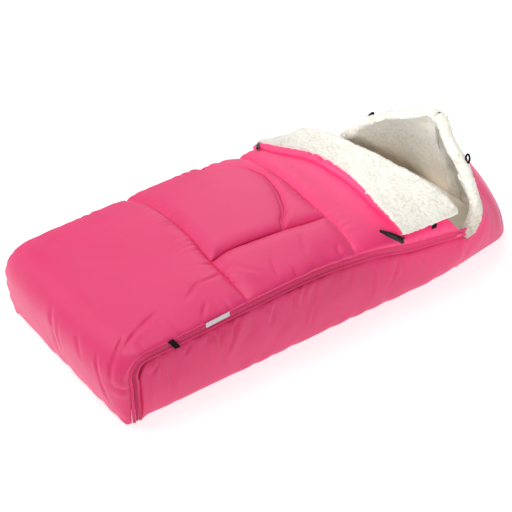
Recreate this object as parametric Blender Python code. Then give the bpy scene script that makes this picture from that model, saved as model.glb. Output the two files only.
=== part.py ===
"""A baby carrier footmuff: a padded sleeping bag with a fleece lining, a zip down each side,
a cover whose top is folded back as a collar, and a raised hood at the head end.
It lies along X with the foot end at -X and the floor at z = 0. The photographed side is -Y."""

import math

import bmesh
import bpy
import numpy as np

# Driving dimensions, in metres.
FOOT_PANEL_LENGTH = 0.288  # foot face to the first cross seam
MIDDLE_PANEL_LENGTH = 0.266  # first to second cross seam
TOP_PANEL_LENGTH = 0.188  # second cross seam to the fold line
OPENING_LENGTH = 0.072  # fold line to the sliders
HOOD_LENGTH = 0.186  # sliders to the head end
HALF_WIDTH = 0.209  # middle plane to the cover's side edge
FLOOR_HALF_WIDTH = 0.203  # middle plane to the side wall where it stands
HEAD_HALF_WIDTH = 0.193  # the same, at the sliders
SHELL = 0.0125  # padded outer shell
FLEECE = 0.008  # fleece lining
GAP = 0.0003  # between touching pieces
CLOTH_GAP = 0.0006  # between two curved layers of cloth
FOOT_RADIUS = 0.060  # rounding from the foot face to the top
FOOT_BOW = 0.012  # how far the foot face stands out in its middle
FOOT_TUCK = 0.014  # how far the foot face draws in at the floor
CORNER_TUCK = 0.028  # how far the foot corners draw in at the floor
CORNER_LIFT = 0.013  # how far they stand off it
PUFF = 0.005  # how far a panel swells between its seams
SEAM_REACH = 0.032  # distance over which the swelling grows from a seam
LENGTH = FOOT_PANEL_LENGTH + MIDDLE_PANEL_LENGTH + TOP_PANEL_LENGTH + OPENING_LENGTH + HOOD_LENGTH

# Stations along X, from the foot face to the head end, centred on the origin.
FOOT_X = -LENGTH / 2
SEAM_1_X = FOOT_X + FOOT_PANEL_LENGTH
SEAM_2_X = SEAM_1_X + MIDDLE_PANEL_LENGTH
FOLD_X = SEAM_2_X + TOP_PANEL_LENGTH
SLIDER_X = FOLD_X + OPENING_LENGTH
HEAD_X = SLIDER_X + HOOD_LENGTH

# Side zips: heights of the teeth above the floor, and the band's make-up.
ZIP_FOOT_Z = 0.138
ZIP_SEAM_1_Z = 0.149
ZIP_CREST_Z = 0.154
ZIP_SEAM_2_Z = 0.143
ZIP_STRAIGHT_Z = 0.116
ZIP_HEAD_Z = 0.094
ZIP_STRAIGHT_LENGTH = 0.140  # the straight run that the slider travels
BAND = 0.028  # both tapes and the teeth
TEETH_ROW = 0.0022
TEETH_SLOT = 0.0016
TEETH_THICKNESS = 0.0026
TAPE_THICKNESS = 0.0012
ZIP_INSET = 0.005  # the tapes' middle plane lies this far inside the cover's side
ZIP_FLOOR_CLEARANCE = 0.016
ZIP_Y = HALF_WIDTH - ZIP_INSET

# Cover: height of its middle line above the edge, from the foot to the fold.
CROWN_FOOT = 0.005
CROWN_SEAM_1 = 0.007
CROWN_SEAM_2 = 0.012
CROWN_FOLD = 0.052
EDGE_POWER = 0.60  # shape of the cross section: 1 is an ellipse, less is squarer

ACROSS_STEPS = 20


def smooth_through(points, x):
    """Height at x of a smooth curve through the points, flat or sloping as its neighbours say."""
    xs = np.array([p[0] for p in points])
    zs = np.array([p[1] for p in points])
    steps = np.diff(xs)
    slopes = np.diff(zs) / steps
    inner = [2 * a * b / (a + b) if a * b > 0 else 0.0 for a, b in zip(slopes[:-1], slopes[1:])]
    tangents = np.array([slopes[0], *inner, slopes[-1]])
    i = int(np.clip(np.searchsorted(xs, x) - 1, 0, len(steps) - 1))
    t = (x - xs[i]) / steps[i]
    if t <= 0 or t >= 1:
        end = i if t <= 0 else i + 1
        return zs[end] + tangents[end] * (x - xs[end])
    return (
        (2 * t**3 - 3 * t**2 + 1) * zs[i]
        + (t**3 - 2 * t**2 + t) * steps[i] * tangents[i]
        + (3 * t**2 - 2 * t**3) * zs[i + 1]
        + (t**3 - t**2) * steps[i] * tangents[i + 1]
    )


ARC_RIM_X = FOOT_X + FOOT_BOW + FOOT_RADIUS  # centre of the foot rounding at the cover's side edge
STRAIGHT_X = SLIDER_X - ZIP_STRAIGHT_LENGTH
STRAIGHT_SLOPE = (ZIP_HEAD_Z - ZIP_STRAIGHT_Z) / ZIP_STRAIGHT_LENGTH
CREST_X = SEAM_1_X + MIDDLE_PANEL_LENGTH / 2
ZIP_LINE = [
    (ARC_RIM_X, ZIP_FOOT_Z),
    (SEAM_1_X, ZIP_SEAM_1_Z),
    (CREST_X, ZIP_CREST_Z),
    (SEAM_2_X, ZIP_SEAM_2_Z),
    (STRAIGHT_X, ZIP_STRAIGHT_Z),
    (SLIDER_X, ZIP_HEAD_Z),
]
CROWN_LINE = [
    (ARC_RIM_X, CROWN_FOOT),
    (SEAM_1_X, CROWN_SEAM_1),
    (SEAM_2_X, CROWN_SEAM_2),
    (FOLD_X, CROWN_FOLD),
]


def zip_z(x):
    """Height of the teeth at x."""
    if x >= STRAIGHT_X:
        height = ZIP_STRAIGHT_Z + STRAIGHT_SLOPE * (x - STRAIGHT_X)
    else:
        height = smooth_through(ZIP_LINE, x)
    return height


def edge_z(x):
    """Height of the cover's side edge."""
    return zip_z(x) + BAND / 2


def crown(x):
    return smooth_through(CROWN_LINE, x)


def across(theta):
    """Share of the half width and share of the crown at this angle of the cross section."""
    out = math.copysign(abs(math.sin(theta)) ** EDGE_POWER, theta)
    return out, max(math.cos(theta), 0.0) ** EDGE_POWER


def top_z(x, theta, depth):
    _, up = across(theta)
    return edge_z(x) + (crown(x) - depth) * up


def foot_centre(theta):
    """Centre of the foot rounding at this angle, as x and z."""
    _, up = across(theta)
    x = FOOT_X + FOOT_BOW * (1 - up) + FOOT_RADIUS
    return x, top_z(ARC_RIM_X, theta, 0.0) - FOOT_RADIUS


def mitre_sum():
    """x + z on the sloping plane where the foot wall meets the cover."""
    x, z = foot_centre(0.0)
    return x + z


def mitre_angle(centre_sum, radius):
    """Angle on a foot rounding at which it crosses that plane."""
    share = (mitre_sum() - centre_sum) / (radius * math.sqrt(2))
    return 0.75 * math.pi - math.asin(share)


def cover_point(u, theta, depth):
    """A point under the cover's outside: u is 0-1 up the foot face, 1-2 round its top, 2-3 to the fold."""
    out, up = across(theta)
    y = (HALF_WIDTH - depth) * out
    cx, cz = foot_centre(theta)
    radius = FOOT_RADIUS - depth * up
    if u <= 1:
        low = (1 - u) ** 2
        tuck = 1 - low * (HALF_WIDTH - FLOOR_HALF_WIDTH) / HALF_WIDTH
        aside = (1 - up) ** 1.5
        x = cx - radius + low * (FOOT_TUCK * up + CORNER_TUCK * aside)
        return np.array([x, y * tuck, cz * u + CORNER_LIFT * aside * low])
    if u <= 2:
        angle = math.pi * (1 - (u - 1) / 2)
        return np.array([cx + radius * math.cos(angle), y, cz + radius * math.sin(angle)])
    x = cx + (u - 2) * (FOLD_X - cx)
    start = top_z(cx, theta, depth) - (cz + radius)
    ease = math.exp(-(x - cx) / FOOT_RADIUS)
    return np.array([x, y, top_z(x, theta, depth) - start * ease])


def mitre_u(theta, depth):
    cx, cz = foot_centre(theta)
    _, up = across(theta)
    return 1 + (math.pi - mitre_angle(cx + cz, FOOT_RADIUS - depth * up)) / (math.pi / 2)


def u_at(x, theta):
    cx, _ = foot_centre(theta)
    return 2 + (x - cx) / (FOLD_X - cx)


# Objects, materials and the empties that stand on the joint axes.
for old in list(bpy.data.objects):
    bpy.data.objects.remove(old, do_unlink=True)


def make_material(name, colour, roughness, metallic=0.0):
    material = bpy.data.materials.new(name)
    material.use_nodes = True
    shader = material.node_tree.nodes["Principled BSDF"]
    shader.inputs["Base Color"].default_value = (*colour, 1)
    shader.inputs["Roughness"].default_value = roughness
    shader.inputs["Metallic"].default_value = metallic
    return material


PINK = make_material("pink_nylon", (0.79, 0.055, 0.19), 0.45)
PINK_TAPE = make_material("pink_zip_tape", (0.68, 0.03, 0.14), 0.7)
PINK_TEETH = make_material("pink_zip_teeth", (0.72, 0.05, 0.18), 0.4)
CREAM = make_material("cream_fleece", (0.80, 0.76, 0.68), 0.95)
BLACK_WEB = make_material("black_webbing", (0.02, 0.02, 0.02), 0.8)
BLACK_HORN = make_material("black_horn_plastic", (0.015, 0.013, 0.012), 0.25)
LABEL_GREY = make_material("label_cloth", (0.72, 0.72, 0.74), 0.6)
STEEL = make_material("zinc_plated", (0.55, 0.55, 0.56), 0.3, 1.0)


def make_axis(name, place, parent=None):
    empty = bpy.data.objects.new(name, None)
    empty.location = place if parent is None else np.array(place) - world_place(parent)
    empty.parent = parent
    bpy.context.scene.collection.objects.link(empty)
    return empty


def world_place(empty):
    place = np.array(empty.location)
    return place if empty.parent is None else place + world_place(empty.parent)


def make_piece(name, points, faces, material, axis=None):
    """An object from points in world metres, carried by the empty on its joint's axis."""
    base = np.zeros(3) if axis is None else world_place(axis)
    mesh = bpy.data.meshes.new(name)
    mesh.from_pydata([tuple(np.asarray(p) - base) for p in points], [], [tuple(f) for f in faces])
    mesh.materials.append(material)
    mesh.validate()
    tool = bmesh.new()
    tool.from_mesh(mesh)
    bmesh.ops.recalc_face_normals(tool, faces=tool.faces[:])
    tool.to_mesh(mesh)
    tool.free()
    mesh.shade_smooth()
    mesh.set_sharp_from_angle(angle=math.radians(40))
    piece = bpy.data.objects.new(name, mesh)
    piece.parent = axis
    bpy.context.scene.collection.objects.link(piece)
    return piece


def between(name, outer, inner, material, axis=None, ring=False):
    """A closed sheet between two grids of points of the same size; a ring closes on itself along its rows."""
    outer, inner = np.array(outer), np.array(inner)
    rows, columns = outer.shape[:2]
    points = np.concatenate([outer.reshape(-1, 3), inner.reshape(-1, 3)])
    below = rows * columns
    faces = []
    for i in range(rows if ring else rows - 1):
        k = (i + 1) % rows
        for j in range(columns - 1):
            a, b, c, d = i * columns + j, k * columns + j, k * columns + j + 1, i * columns + j + 1
            faces += [(a, b, c), (a, c, d)]
            faces += [(below + c, below + b, below + a), (below + d, below + c, below + a)]
        for a, b in ((i * columns, k * columns), (k * columns + columns - 1, i * columns + columns - 1)):
            faces.append((b, a, below + a, below + b))
    if not ring:
        for j in range(columns - 1):
            for a, b in ((j, j + 1), (below - columns + j + 1, below - columns + j)):
                faces.append((a, b, below + b, below + a))
    return make_piece(name, points, faces, material, axis)


def loft(name, sections, material, axis=None, ring=False):
    """A closed body through polygons of the same number of points; a ring has no ends."""
    sections = np.array(sections, float)
    count, sides = sections.shape[:2]
    faces = []
    for i in range(count if ring else count - 1):
        n = (i + 1) % count
        for k in range(sides):
            m = (k + 1) % sides
            faces.append((i * sides + k, i * sides + m, n * sides + m, n * sides + k))
    if not ring:
        faces.append(tuple(range(sides)))
        faces.append(tuple(reversed(range((count - 1) * sides, count * sides))))
    return make_piece(name, sections.reshape(-1, 3), faces, material, axis)


def circles(centres, radius, sides, ring=False, squash=1.0):
    """Rings of points square to the line through the centres; radius is one number or one for each."""
    centres = np.array(centres, float)
    count = len(centres)
    radii = np.broadcast_to(radius, count)
    sections = []
    side = None
    for i in range(count):
        ahead = centres[(i + 1) % count] if ring else centres[min(i + 1, count - 1)]
        behind = centres[i - 1] if ring or i else centres[0]
        along = (ahead - behind) / np.linalg.norm(ahead - behind)
        if side is None:
            guess = np.array([0, 0, 1.0]) if abs(along[2]) < 0.8 else np.array([1.0, 0, 0])
            side = np.cross(along, guess)
        side = side - along * (side @ along)
        side /= np.linalg.norm(side)
        up = np.cross(along, side)
        turns = 2 * math.pi * np.arange(sides) / sides
        spokes = [math.cos(t) * side + squash * math.sin(t) * up for t in turns]
        sections.append([centres[i] + radii[i] * spoke for spoke in spokes])
    return sections


# Joint axes.
FOOT_HINGE = np.array([FOOT_X + FOOT_TUCK - GAP, 0.0, 0.0])
HIGH_ROUND = FOOT_RADIUS + PUFF
ARC_MIDDLE = foot_centre(0.0)
COVER_HINGE = np.array([
    ARC_MIDDLE[0] - HIGH_ROUND / math.sqrt(2),
    0.0,
    ARC_MIDDLE[1] + HIGH_ROUND / math.sqrt(2),
])
foot_axis = make_axis("foot_axis", FOOT_HINGE)
cover_axis = make_axis("cover_axis", COVER_HINGE, foot_axis)


# Cover panels: each swells between its seams, and its edges are drawn down to them.
THETAS = np.linspace(-math.pi / 2, math.pi / 2, ACROSS_STEPS + 1)
SEAM_DROP = 0.0035  # how far a seam pulls the surface in


def swell(distances):
    """Outward displacement at a point that lies at these distances from its panel's seams."""
    share = min(min(d / SEAM_REACH, 1.0) for d in distances)
    return PUFF * share * (2 - share) - SEAM_DROP * (1 - share) ** 3


def panel_grid(u_rows, thetas, depth, seams):
    """Rows of points; u_rows gives u for a row at an angle, seams gives distances to the seams."""
    rows = []
    for u_row in u_rows:
        row = []
        for theta in thetas:
            u = u_row(theta, depth)
            _, up = across(theta)
            low = depth - (swell(seams(u, theta)) * min(1.0, 3 * up) if depth <= 0 else 0.0)
            row.append(cover_point(u, theta, low))
        rows.append(row)
    return rows


def cloth_rows(start, end, count):
    """Row functions for u, evenly spaced between two functions of the angle and the depth."""

    def row(share):
        return lambda theta, depth: start(theta, depth) * (1 - share) + end(theta, depth) * share

    return [row(k / (count - 1)) for k in range(count)]


MITRE_CLEARANCE = 0.006  # as a share of a quarter turn, on each side of the mitre


def below_mitre(theta, depth):
    return mitre_u(theta, depth) - MITRE_CLEARANCE


def above_mitre(theta, depth):
    return mitre_u(theta, depth) + MITRE_CLEARANCE


def floor_line(theta, depth):
    return 0.0


def face_top(theta, depth):
    return 1.0


def station(x):
    return lambda theta, depth: u_at(x, theta)


def to_seam(x, theta, u):
    """Distance along the cover from the point at u to the cross seam at x."""
    cx, _ = foot_centre(theta)
    here = cx + (u - 2) * (FOLD_X - cx) if u > 2 else cx - (2 - u) * FOOT_RADIUS * math.pi / 2
    return abs(x - here)


ROLL_REACH = 0.014  # how far the folded edge stands out past the fold line in the middle
ZIP_END_CLEARANCE = 0.006
FOLD_SWEEP = OPENING_LENGTH - ROLL_REACH - ZIP_END_CLEARANCE


def cover_end_x(theta):
    """The folded edge sweeps forward to the sliders at both sides."""
    _, up = across(theta)
    return FOLD_X + FOLD_SWEEP * (1 - up) ** 1.5


def cover_end(theta, depth):
    return u_at(cover_end_x(theta), theta)


def shell_and_depth(name, rows, thetas, seams, material, axis, inner=SHELL):
    outer = panel_grid(rows, thetas, 0.0, seams)
    under = panel_grid(rows, thetas, inner, seams)
    return between(name, outer, under, material, axis)


def free(u, theta):
    return [1.0]


# Foot wall and its lining.
LINING_TOP = SHELL + CLOTH_GAP
LINING_UNDER = LINING_TOP + FLEECE
foot_rows = cloth_rows(floor_line, face_top, 5) + cloth_rows(face_top, below_mitre, 4)[1:]
shell_and_depth("foot_wall", foot_rows, THETAS, free, PINK, foot_axis)
between(
    "foot_wall_lining",
    panel_grid(foot_rows, THETAS[1:-1], LINING_TOP, free),
    panel_grid(foot_rows, THETAS[1:-1], LINING_UNDER, free),
    CREAM,
    foot_axis,
)

# Foot panel of the cover.
def arc_end(theta, depth):
    return 2.0


corner_rows = cloth_rows(above_mitre, arc_end, 5)
rows = corner_rows + cloth_rows(arc_end, station(SEAM_1_X - GAP), 9)[1:]
shell_and_depth("cover_foot_panel", rows, THETAS, lambda u, t: [to_seam(SEAM_1_X, t, u)], PINK, cover_axis)

# Middle panels: the long seam divides them, and the pocket's mouth curves across the far one.
LONG_SEAM_Y = -0.083


def theta_of(y):
    """Angle at which the cover's outside has this y."""
    share = min(abs(y) / HALF_WIDTH, 1.0) ** (1 / EDGE_POWER)
    return math.copysign(math.asin(share), y)


NEAR_THETAS = np.linspace(-math.pi / 2, theta_of(LONG_SEAM_Y - GAP), 9)
FAR_THETAS = np.linspace(theta_of(LONG_SEAM_Y + GAP), math.pi / 2, 15)


def to_long_seam(theta):
    return abs(HALF_WIDTH * across(theta)[0] - LONG_SEAM_Y)


def middle_seams(u, theta):
    return [to_seam(SEAM_1_X, theta, u), to_seam(SEAM_2_X, theta, u), to_long_seam(theta)]


rows = cloth_rows(station(SEAM_1_X + GAP), station(SEAM_2_X - GAP), 10)
shell_and_depth("cover_middle_near_panel", rows, NEAR_THETAS, middle_seams, PINK, cover_axis)

# The mouth's points: y, and the distance past the first cross seam.
POCKET_MOUTH = [
    (-0.09, 0.170),
    (-0.06, 0.175),
    (-0.01, 0.212),
    (0.05, 0.236),
    (0.11, 0.238),
    (0.15, 0.216),
    (0.18, 0.166),
]
POCKET_FRONT = 0.005
MOUTH_GAP = 0.0008


def mouth_x(theta):
    y = HALF_WIDTH * across(theta)[0]
    return SEAM_1_X + smooth_through(POCKET_MOUTH, min(y, POCKET_MOUTH[-1][0]))


def mouth(offset):
    return lambda theta, depth: u_at(mouth_x(theta) + offset, theta)


def pocket_seams(u, theta):
    return [to_seam(SEAM_1_X, theta, u), to_seam(mouth_x(theta), theta, u), to_long_seam(theta)]


rows = cloth_rows(station(SEAM_1_X + GAP), mouth(0.0), 10)
shell_and_depth("cover_pocket_front", rows, FAR_THETAS, pocket_seams, PINK, cover_axis, POCKET_FRONT)


def backing_seams(u, theta):
    return [to_seam(mouth_x(theta), theta, u), to_seam(SEAM_2_X, theta, u), to_long_seam(theta)]


hidden_rows = cloth_rows(station(SEAM_1_X + GAP), mouth(MOUTH_GAP), 10)
shown_rows = cloth_rows(mouth(2 * MOUTH_GAP), station(SEAM_2_X - GAP), 6)
backing_top = panel_grid(hidden_rows, FAR_THETAS, POCKET_FRONT + CLOTH_GAP, free)
backing_top += panel_grid(shown_rows, FAR_THETAS, 0.0, backing_seams)
backing_under = panel_grid(hidden_rows + shown_rows, FAR_THETAS, SHELL, free)
between("cover_pocket_back", backing_top, backing_under, PINK, cover_axis)

# Top panel, which runs under the collar to the folded edge.
top_rows = cloth_rows(station(SEAM_2_X + GAP), cover_end, 10)
shell_and_depth("cover_top_panel", top_rows, THETAS, lambda u, t: [to_seam(SEAM_2_X, t, u)], PINK, cover_axis)

# One fleece lining under the whole cover.
rows = corner_rows + cloth_rows(arc_end, station(SEAM_1_X), 5)[1:]
rows += cloth_rows(station(SEAM_1_X), station(SEAM_2_X), 5)[1:] + top_rows[1:]
between(
    "cover_lining",
    panel_grid(rows, THETAS, LINING_TOP, free),
    panel_grid(rows, THETAS, LINING_UNDER, free),
    CREAM,
    cover_axis,
)

# Collar: the unzipped top of the cover, folded back over it with its fleece up.
COLLAR_LENGTH = 0.096
COLLAR_ANGLE = math.radians(80)
COLLAR_SHELL = 0.005
COLLAR_FLEECE = 0.013
COLLAR_UNDER = -(PUFF + CLOTH_GAP)
COLLAR_MIDDLE = COLLAR_UNDER - COLLAR_SHELL
COLLAR_TOP = COLLAR_MIDDLE - GAP - COLLAR_FLEECE
HEM_WIDTH = 0.018
HEM_THICKNESS = 0.010
COLLAR_THETAS = np.linspace(-COLLAR_ANGLE, COLLAR_ANGLE, 19)
COLLAR_FOOT_X = FOLD_X - COLLAR_LENGTH
COLLAR_HINGE = np.array([FOLD_X, 0.0, top_z(FOLD_X, 0.0, COLLAR_TOP) + GAP])
collar_axis = make_axis("collar_axis", COLLAR_HINGE, cover_axis)


def rounded(share, least=0.45):
    """Thickness of a fleece edge at a share of its width, thinner at the free end."""
    return least + (1 - least) * math.sin(min(share * 4, 1.0) * math.pi / 2)


def collar_layer(name, start_x, end_x, count, low, high, material, edge):
    top, under = [], []
    for k in range(count):
        share = k / (count - 1)
        x = start_x + (end_x - start_x) * share
        thick = edge(share)
        top.append([cover_point(u_at(x, t), t, low + (high - low) * thick) for t in COLLAR_THETAS])
        under.append([cover_point(u_at(x, t), t, low) for t in COLLAR_THETAS])
    return between(name, top, under, material, collar_axis)


fold_x = FOLD_X - GAP
collar_layer("collar_shell", COLLAR_FOOT_X, fold_x, 7, COLLAR_UNDER, COLLAR_MIDDLE, PINK, lambda share: 1.0)
collar_layer("collar_fleece", COLLAR_FOOT_X, fold_x, 9, COLLAR_MIDDLE - GAP, COLLAR_TOP, CREAM, rounded)
collar_layer(
    "collar_hem",
    COLLAR_FOOT_X - GAP - HEM_WIDTH,
    COLLAR_FOOT_X - GAP,
    5,
    COLLAR_UNDER,
    COLLAR_UNDER - HEM_THICKNESS,
    PINK,
    lambda share: 0.4 + 0.6 * math.sin(math.pi * (0.12 + 0.76 * share)),
)

# Folded edge: fleece wraps round the cover's end, between the collar and the lining.
ROLL_STEPS = 6
END_CLEARANCE = 0.003  # the cover's end slants at the sides, so the fleece stands off more there
ROLL_LEAST = 0.12  # thickness left at the sides, as a share of the middle's


def roll_share(theta):
    """The roll thins out beyond the collar's side edges."""
    _, up = across(theta)
    _, up_at_collar = across(COLLAR_ANGLE)
    return ROLL_LEAST + (1 - ROLL_LEAST) * min(1.0, up / up_at_collar) ** 2


outer_rows, inner_rows = [], []
for share in (0, 0.33, 0.67):
    outer_row, inner_row = [], []
    for theta in THETAS:
        x = FOLD_X + (cover_end_x(theta) - FOLD_X) * share
        high = COLLAR_UNDER + (COLLAR_TOP - COLLAR_UNDER) * roll_share(theta)
        outer_row.append(cover_point(u_at(x, theta), theta, high))
        inner_row.append(cover_point(u_at(x, theta), theta, COLLAR_UNDER))
    outer_rows.append(outer_row)
    inner_rows.append(inner_row)
for k in range(ROLL_STEPS + 1):
    turn = math.pi * k / ROLL_STEPS
    outer_row, inner_row = [], []
    for theta in THETAS:
        end_x = cover_end_x(theta) + GAP + END_CLEARANCE * (1 - across(theta)[1])
        outer_x = end_x + GAP + ROLL_REACH * math.sin(turn) * roll_share(theta)
        high = COLLAR_UNDER + (COLLAR_TOP - COLLAR_UNDER) * roll_share(theta)
        outer_depth = (LINING_UNDER + high) / 2 - (LINING_UNDER - high) / 2 * math.cos(turn)
        inner_depth = COLLAR_UNDER + (LINING_UNDER - COLLAR_UNDER) * k / ROLL_STEPS
        outer_row.append(cover_point(u_at(outer_x, theta), theta, outer_depth))
        inner_row.append(cover_point(u_at(end_x, theta), theta, inner_depth))
    outer_rows.append(outer_row)
    inner_rows.append(inner_row)
between("collar_fold_roll", outer_rows, inner_rows, CREAM, cover_axis)

# Side zips. A tape lies on each side of the teeth, in the upright plane at ZIP_Y.
RIM_CENTRE_Z = edge_z(ARC_RIM_X) - FOOT_RADIUS


def corner_shift(z):
    """How far the foot corner's pieces draw in toward the head at this height."""
    fall = RIM_CENTRE_Z - 2 * CORNER_LIFT
    root = math.sqrt(fall**2 - 4 * CORNER_LIFT * (CORNER_LIFT - z))
    u = (root - fall) / (2 * CORNER_LIFT)
    return CORNER_TUCK * (1 - min(u, 1.0)) ** 2


def zip_point(s, height):
    """s is 0 to 1 up from the floor, 1 to 2 round the foot, 2 to 3 on to the slider."""
    radius = FOOT_RADIUS - BAND / 2 + height
    if s <= 1:
        z = ZIP_FLOOR_CLEARANCE + (RIM_CENTRE_Z - ZIP_FLOOR_CLEARANCE) * s
        return np.array([ARC_RIM_X - radius + corner_shift(z), z])
    if s <= 2:
        angle = math.pi * (1 - (s - 1) / 2)
        return np.array([ARC_RIM_X + radius * math.cos(angle), RIM_CENTRE_Z + radius * math.sin(angle)])
    x = ARC_RIM_X + (s - 2) * (SLIDER_X - ARC_RIM_X)
    return np.array([x, zip_z(x) + height])


def zip_mitre(height):
    radius = FOOT_RADIUS - BAND / 2 + height
    return 1 + (math.pi - mitre_angle(ARC_RIM_X + RIM_CENTRE_Z, radius)) / (math.pi / 2)


ALONG_STATIONS = [*np.linspace(ARC_RIM_X, STRAIGHT_X, 10)[1:], *np.linspace(STRAIGHT_X, SLIDER_X, 5)[1:-1]]
FACE_HEIGHTS = [RIM_CENTRE_Z * u + CORNER_LIFT * (1 - u) ** 2 for u in (0.25, 0.5, 0.75)]
ZIP_STATIONS = [(z - ZIP_FLOOR_CLEARANCE) / (RIM_CENTRE_Z - ZIP_FLOOR_CLEARANCE) for z in FACE_HEIGHTS]
ZIP_STATIONS += [1.0, 1.25, 1.5, 1.75, 2.0]
ZIP_STATIONS += [2 + (x - ARC_RIM_X) / (SLIDER_X - ARC_RIM_X) for x in ALONG_STATIONS] + [3.0]


def zip_strip(name, side, heights, thickness, ends, material, axis=None):
    """A flat strip along the zip between two heights from the teeth's middle; ends gives s at each."""
    (low_first, low_last), (high_first, high_last) = ends(heights[0]), ends(heights[1])
    clear = 0.04
    first, last = max(low_first, high_first) + clear, min(low_last, high_last) - clear
    middle = [(s, s) for s in ZIP_STATIONS if first < s < last]
    outer, inner = [], []
    for at_low, at_high in [(low_first, high_first), *middle, (low_last, high_last)]:
        pair = zip_point(at_low, heights[0]), zip_point(at_high, heights[1])
        for grid, y in ((outer, ZIP_Y + thickness / 2), (inner, ZIP_Y - thickness / 2)):
            grid.append([np.array([p[0], side * y, p[1]]) for p in pair])
    return between(name, outer, inner, material, axis)


def whole_zip(height):
    return 0.0, 3.0


def foot_part(height):
    return 0.0, zip_mitre(height) - 2 * MITRE_CLEARANCE


def cover_part(height):
    return zip_mitre(height) + 2 * MITRE_CLEARANCE, 3.0


SIDES = {"near": -1, "far": 1}
ROW_IN = TEETH_SLOT / 2
ROW_OUT = ROW_IN + TEETH_ROW
TAPE_IN = ROW_OUT + GAP
TAPE_OUT = BAND / 2 - CLOTH_GAP
TAPE_ABOVE = (TAPE_IN, TAPE_OUT)
ROW_ABOVE = (ROW_IN, ROW_OUT)
TAPE_BELOW = (-TAPE_OUT, -TAPE_IN)
ROW_BELOW = (-ROW_OUT, -ROW_IN)
for side_name, side in SIDES.items():
    for part_name, tape, row, ends, axis in (
        ("lower", TAPE_BELOW, ROW_BELOW, whole_zip, None),
        ("foot", TAPE_ABOVE, ROW_ABOVE, foot_part, foot_axis),
        ("upper", TAPE_ABOVE, ROW_ABOVE, cover_part, cover_axis),
    ):
        zip_strip(f"zip_tape_{part_name}_{side_name}", side, tape, TAPE_THICKNESS, ends, PINK_TAPE, axis)
        zip_strip(f"zip_teeth_{part_name}_{side_name}", side, row, TEETH_THICKNESS, ends, PINK_TEETH, axis)

# Side walls, from the foot corner to the sliders.
WALL_BULGE = 0.007
WALL_TAPER = 0.130  # length over which the wall draws in to the hood
WALL_TAPER_X = SLIDER_X - WALL_TAPER
CORNER_REACH = 0.10  # length over which the foot corner's drawing-in dies away


def floor_y(x):
    if x <= WALL_TAPER_X:
        return FLOOR_HALF_WIDTH
    share = (x - WALL_TAPER_X) / (SLIDER_X - WALL_TAPER_X)
    return FLOOR_HALF_WIDTH + (HEAD_HALF_WIDTH - FLOOR_HALF_WIDTH) * share**2


CORNER_RADIUS = FOOT_RADIUS - BAND
WALL_FOOT_X = ARC_RIM_X - CORNER_RADIUS


def wall_top(x):
    if x < ARC_RIM_X:
        return RIM_CENTRE_Z + math.sqrt(max(CORNER_RADIUS**2 - (ARC_RIM_X - x) ** 2, 0.0))
    return zip_z(x) - BAND / 2


def wall_point(x, share, side, depth):
    near_corner = max(0.0, 1 - (x - WALL_FOOT_X) / CORNER_REACH)
    z = wall_top(x) * share
    y = floor_y(x) + (HALF_WIDTH - floor_y(x)) * share + WALL_BULGE * math.sin(math.pi * share)
    return np.array([x + near_corner * corner_shift(z), side * (y - depth), z])


corner = [ARC_RIM_X - CORNER_RADIUS * math.cos(a) for a in np.linspace(0, math.pi / 2, 5)]
wall_stations = corner + ALONG_STATIONS + [SLIDER_X]
WALL_LAYERS = (("side_wall", 0.0, SHELL, PINK), ("side_wall_lining", LINING_TOP, LINING_UNDER, CREAM))
WALL_SHARES = np.linspace(0, 1, 6)
for side_name, side in SIDES.items():
    for name, top, under, material in WALL_LAYERS:
        outer = [[wall_point(x, s, side, top) for s in WALL_SHARES] for x in wall_stations]
        inner = [[wall_point(x, s, side, under) for s in WALL_SHARES] for x in wall_stations]
        between(f"{name}_{side_name}", outer, inner, material)

# Hood: the head end turned up as two padded halves that meet at a back seam with a zip.
HOOD_PEAK_Z = 0.238
HOOD_LEAN = 0.080  # how far the peak leans in from the head end
HOOD_BULGE = 0.012
HOOD_START = SLIDER_X + GAP
HOOD_SHELL = 0.0125
HOOD_FLEECE = 0.014
# Edge points beyond the sliders, y and z, as distances along from the slider; the last one is the peak.
HOOD_EDGE = [
    (0.0, HALF_WIDTH, ZIP_HEAD_Z - BAND / 2),
    (0.022, 0.208, 0.096),
    (0.042, 0.201, 0.132),
    (0.057, 0.162, 0.166),
    (0.070, 0.118, 0.192),
    (0.079, 0.068, 0.218),
]
HOOD_FLOOR = [
    (0.0, HEAD_HALF_WIDTH),
    (0.050, 0.186),
    (0.100, 0.179),
    (0.148, 0.169),
    (0.175, 0.144),
    (0.184, 0.100),
    (0.1848, 0.055),
]


def curve_through(points, t):
    """A smooth curve through the points, for t from 0 to 1."""
    points = [np.array(p, float) for p in points]
    at = t * (len(points) - 1)
    i = min(int(at), len(points) - 2)
    f = at - i
    before = points[i - 1] if i else 2 * points[0] - points[1]
    after = points[i + 2] if i + 2 < len(points) else 2 * points[-1] - points[-2]
    a, b = points[i], points[i + 1]
    bend = 2 * before - 5 * a + 4 * b - after
    return 0.5 * (2 * a + (b - before) * f + bend * f**2 + (3 * a - before - 3 * b + after) * f**3)


hood_axis = make_axis("hood_axis", (HEAD_X, 0.0, 0.0))
RIDGE_Y = BAND / 2


def hood_edge(t, side):
    points = HOOD_EDGE + [(HOOD_LENGTH - HOOD_LEAN, RIDGE_Y, HOOD_PEAK_Z)]
    x, y, z = curve_through(points, t)
    return np.array([HOOD_START + x, side * y, z])


def hood_floor(t, side):
    points = [*HOOD_FLOOR, (HOOD_FLOOR[-1][0], RIDGE_Y)]
    x, y = curve_through(points, t)
    return np.array([HOOD_START + x, side * y, 0.0])


def hood_outward(t, side):
    step = 0.01
    along = hood_floor(min(t + step, 1), side) - hood_floor(max(t - step, 0), side)
    out = np.array([along[1], -along[0], 0.0]) * -side
    if t >= 1:
        out = np.array([1.0, 0.0, 0.0])
    return out / np.linalg.norm(out)


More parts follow.
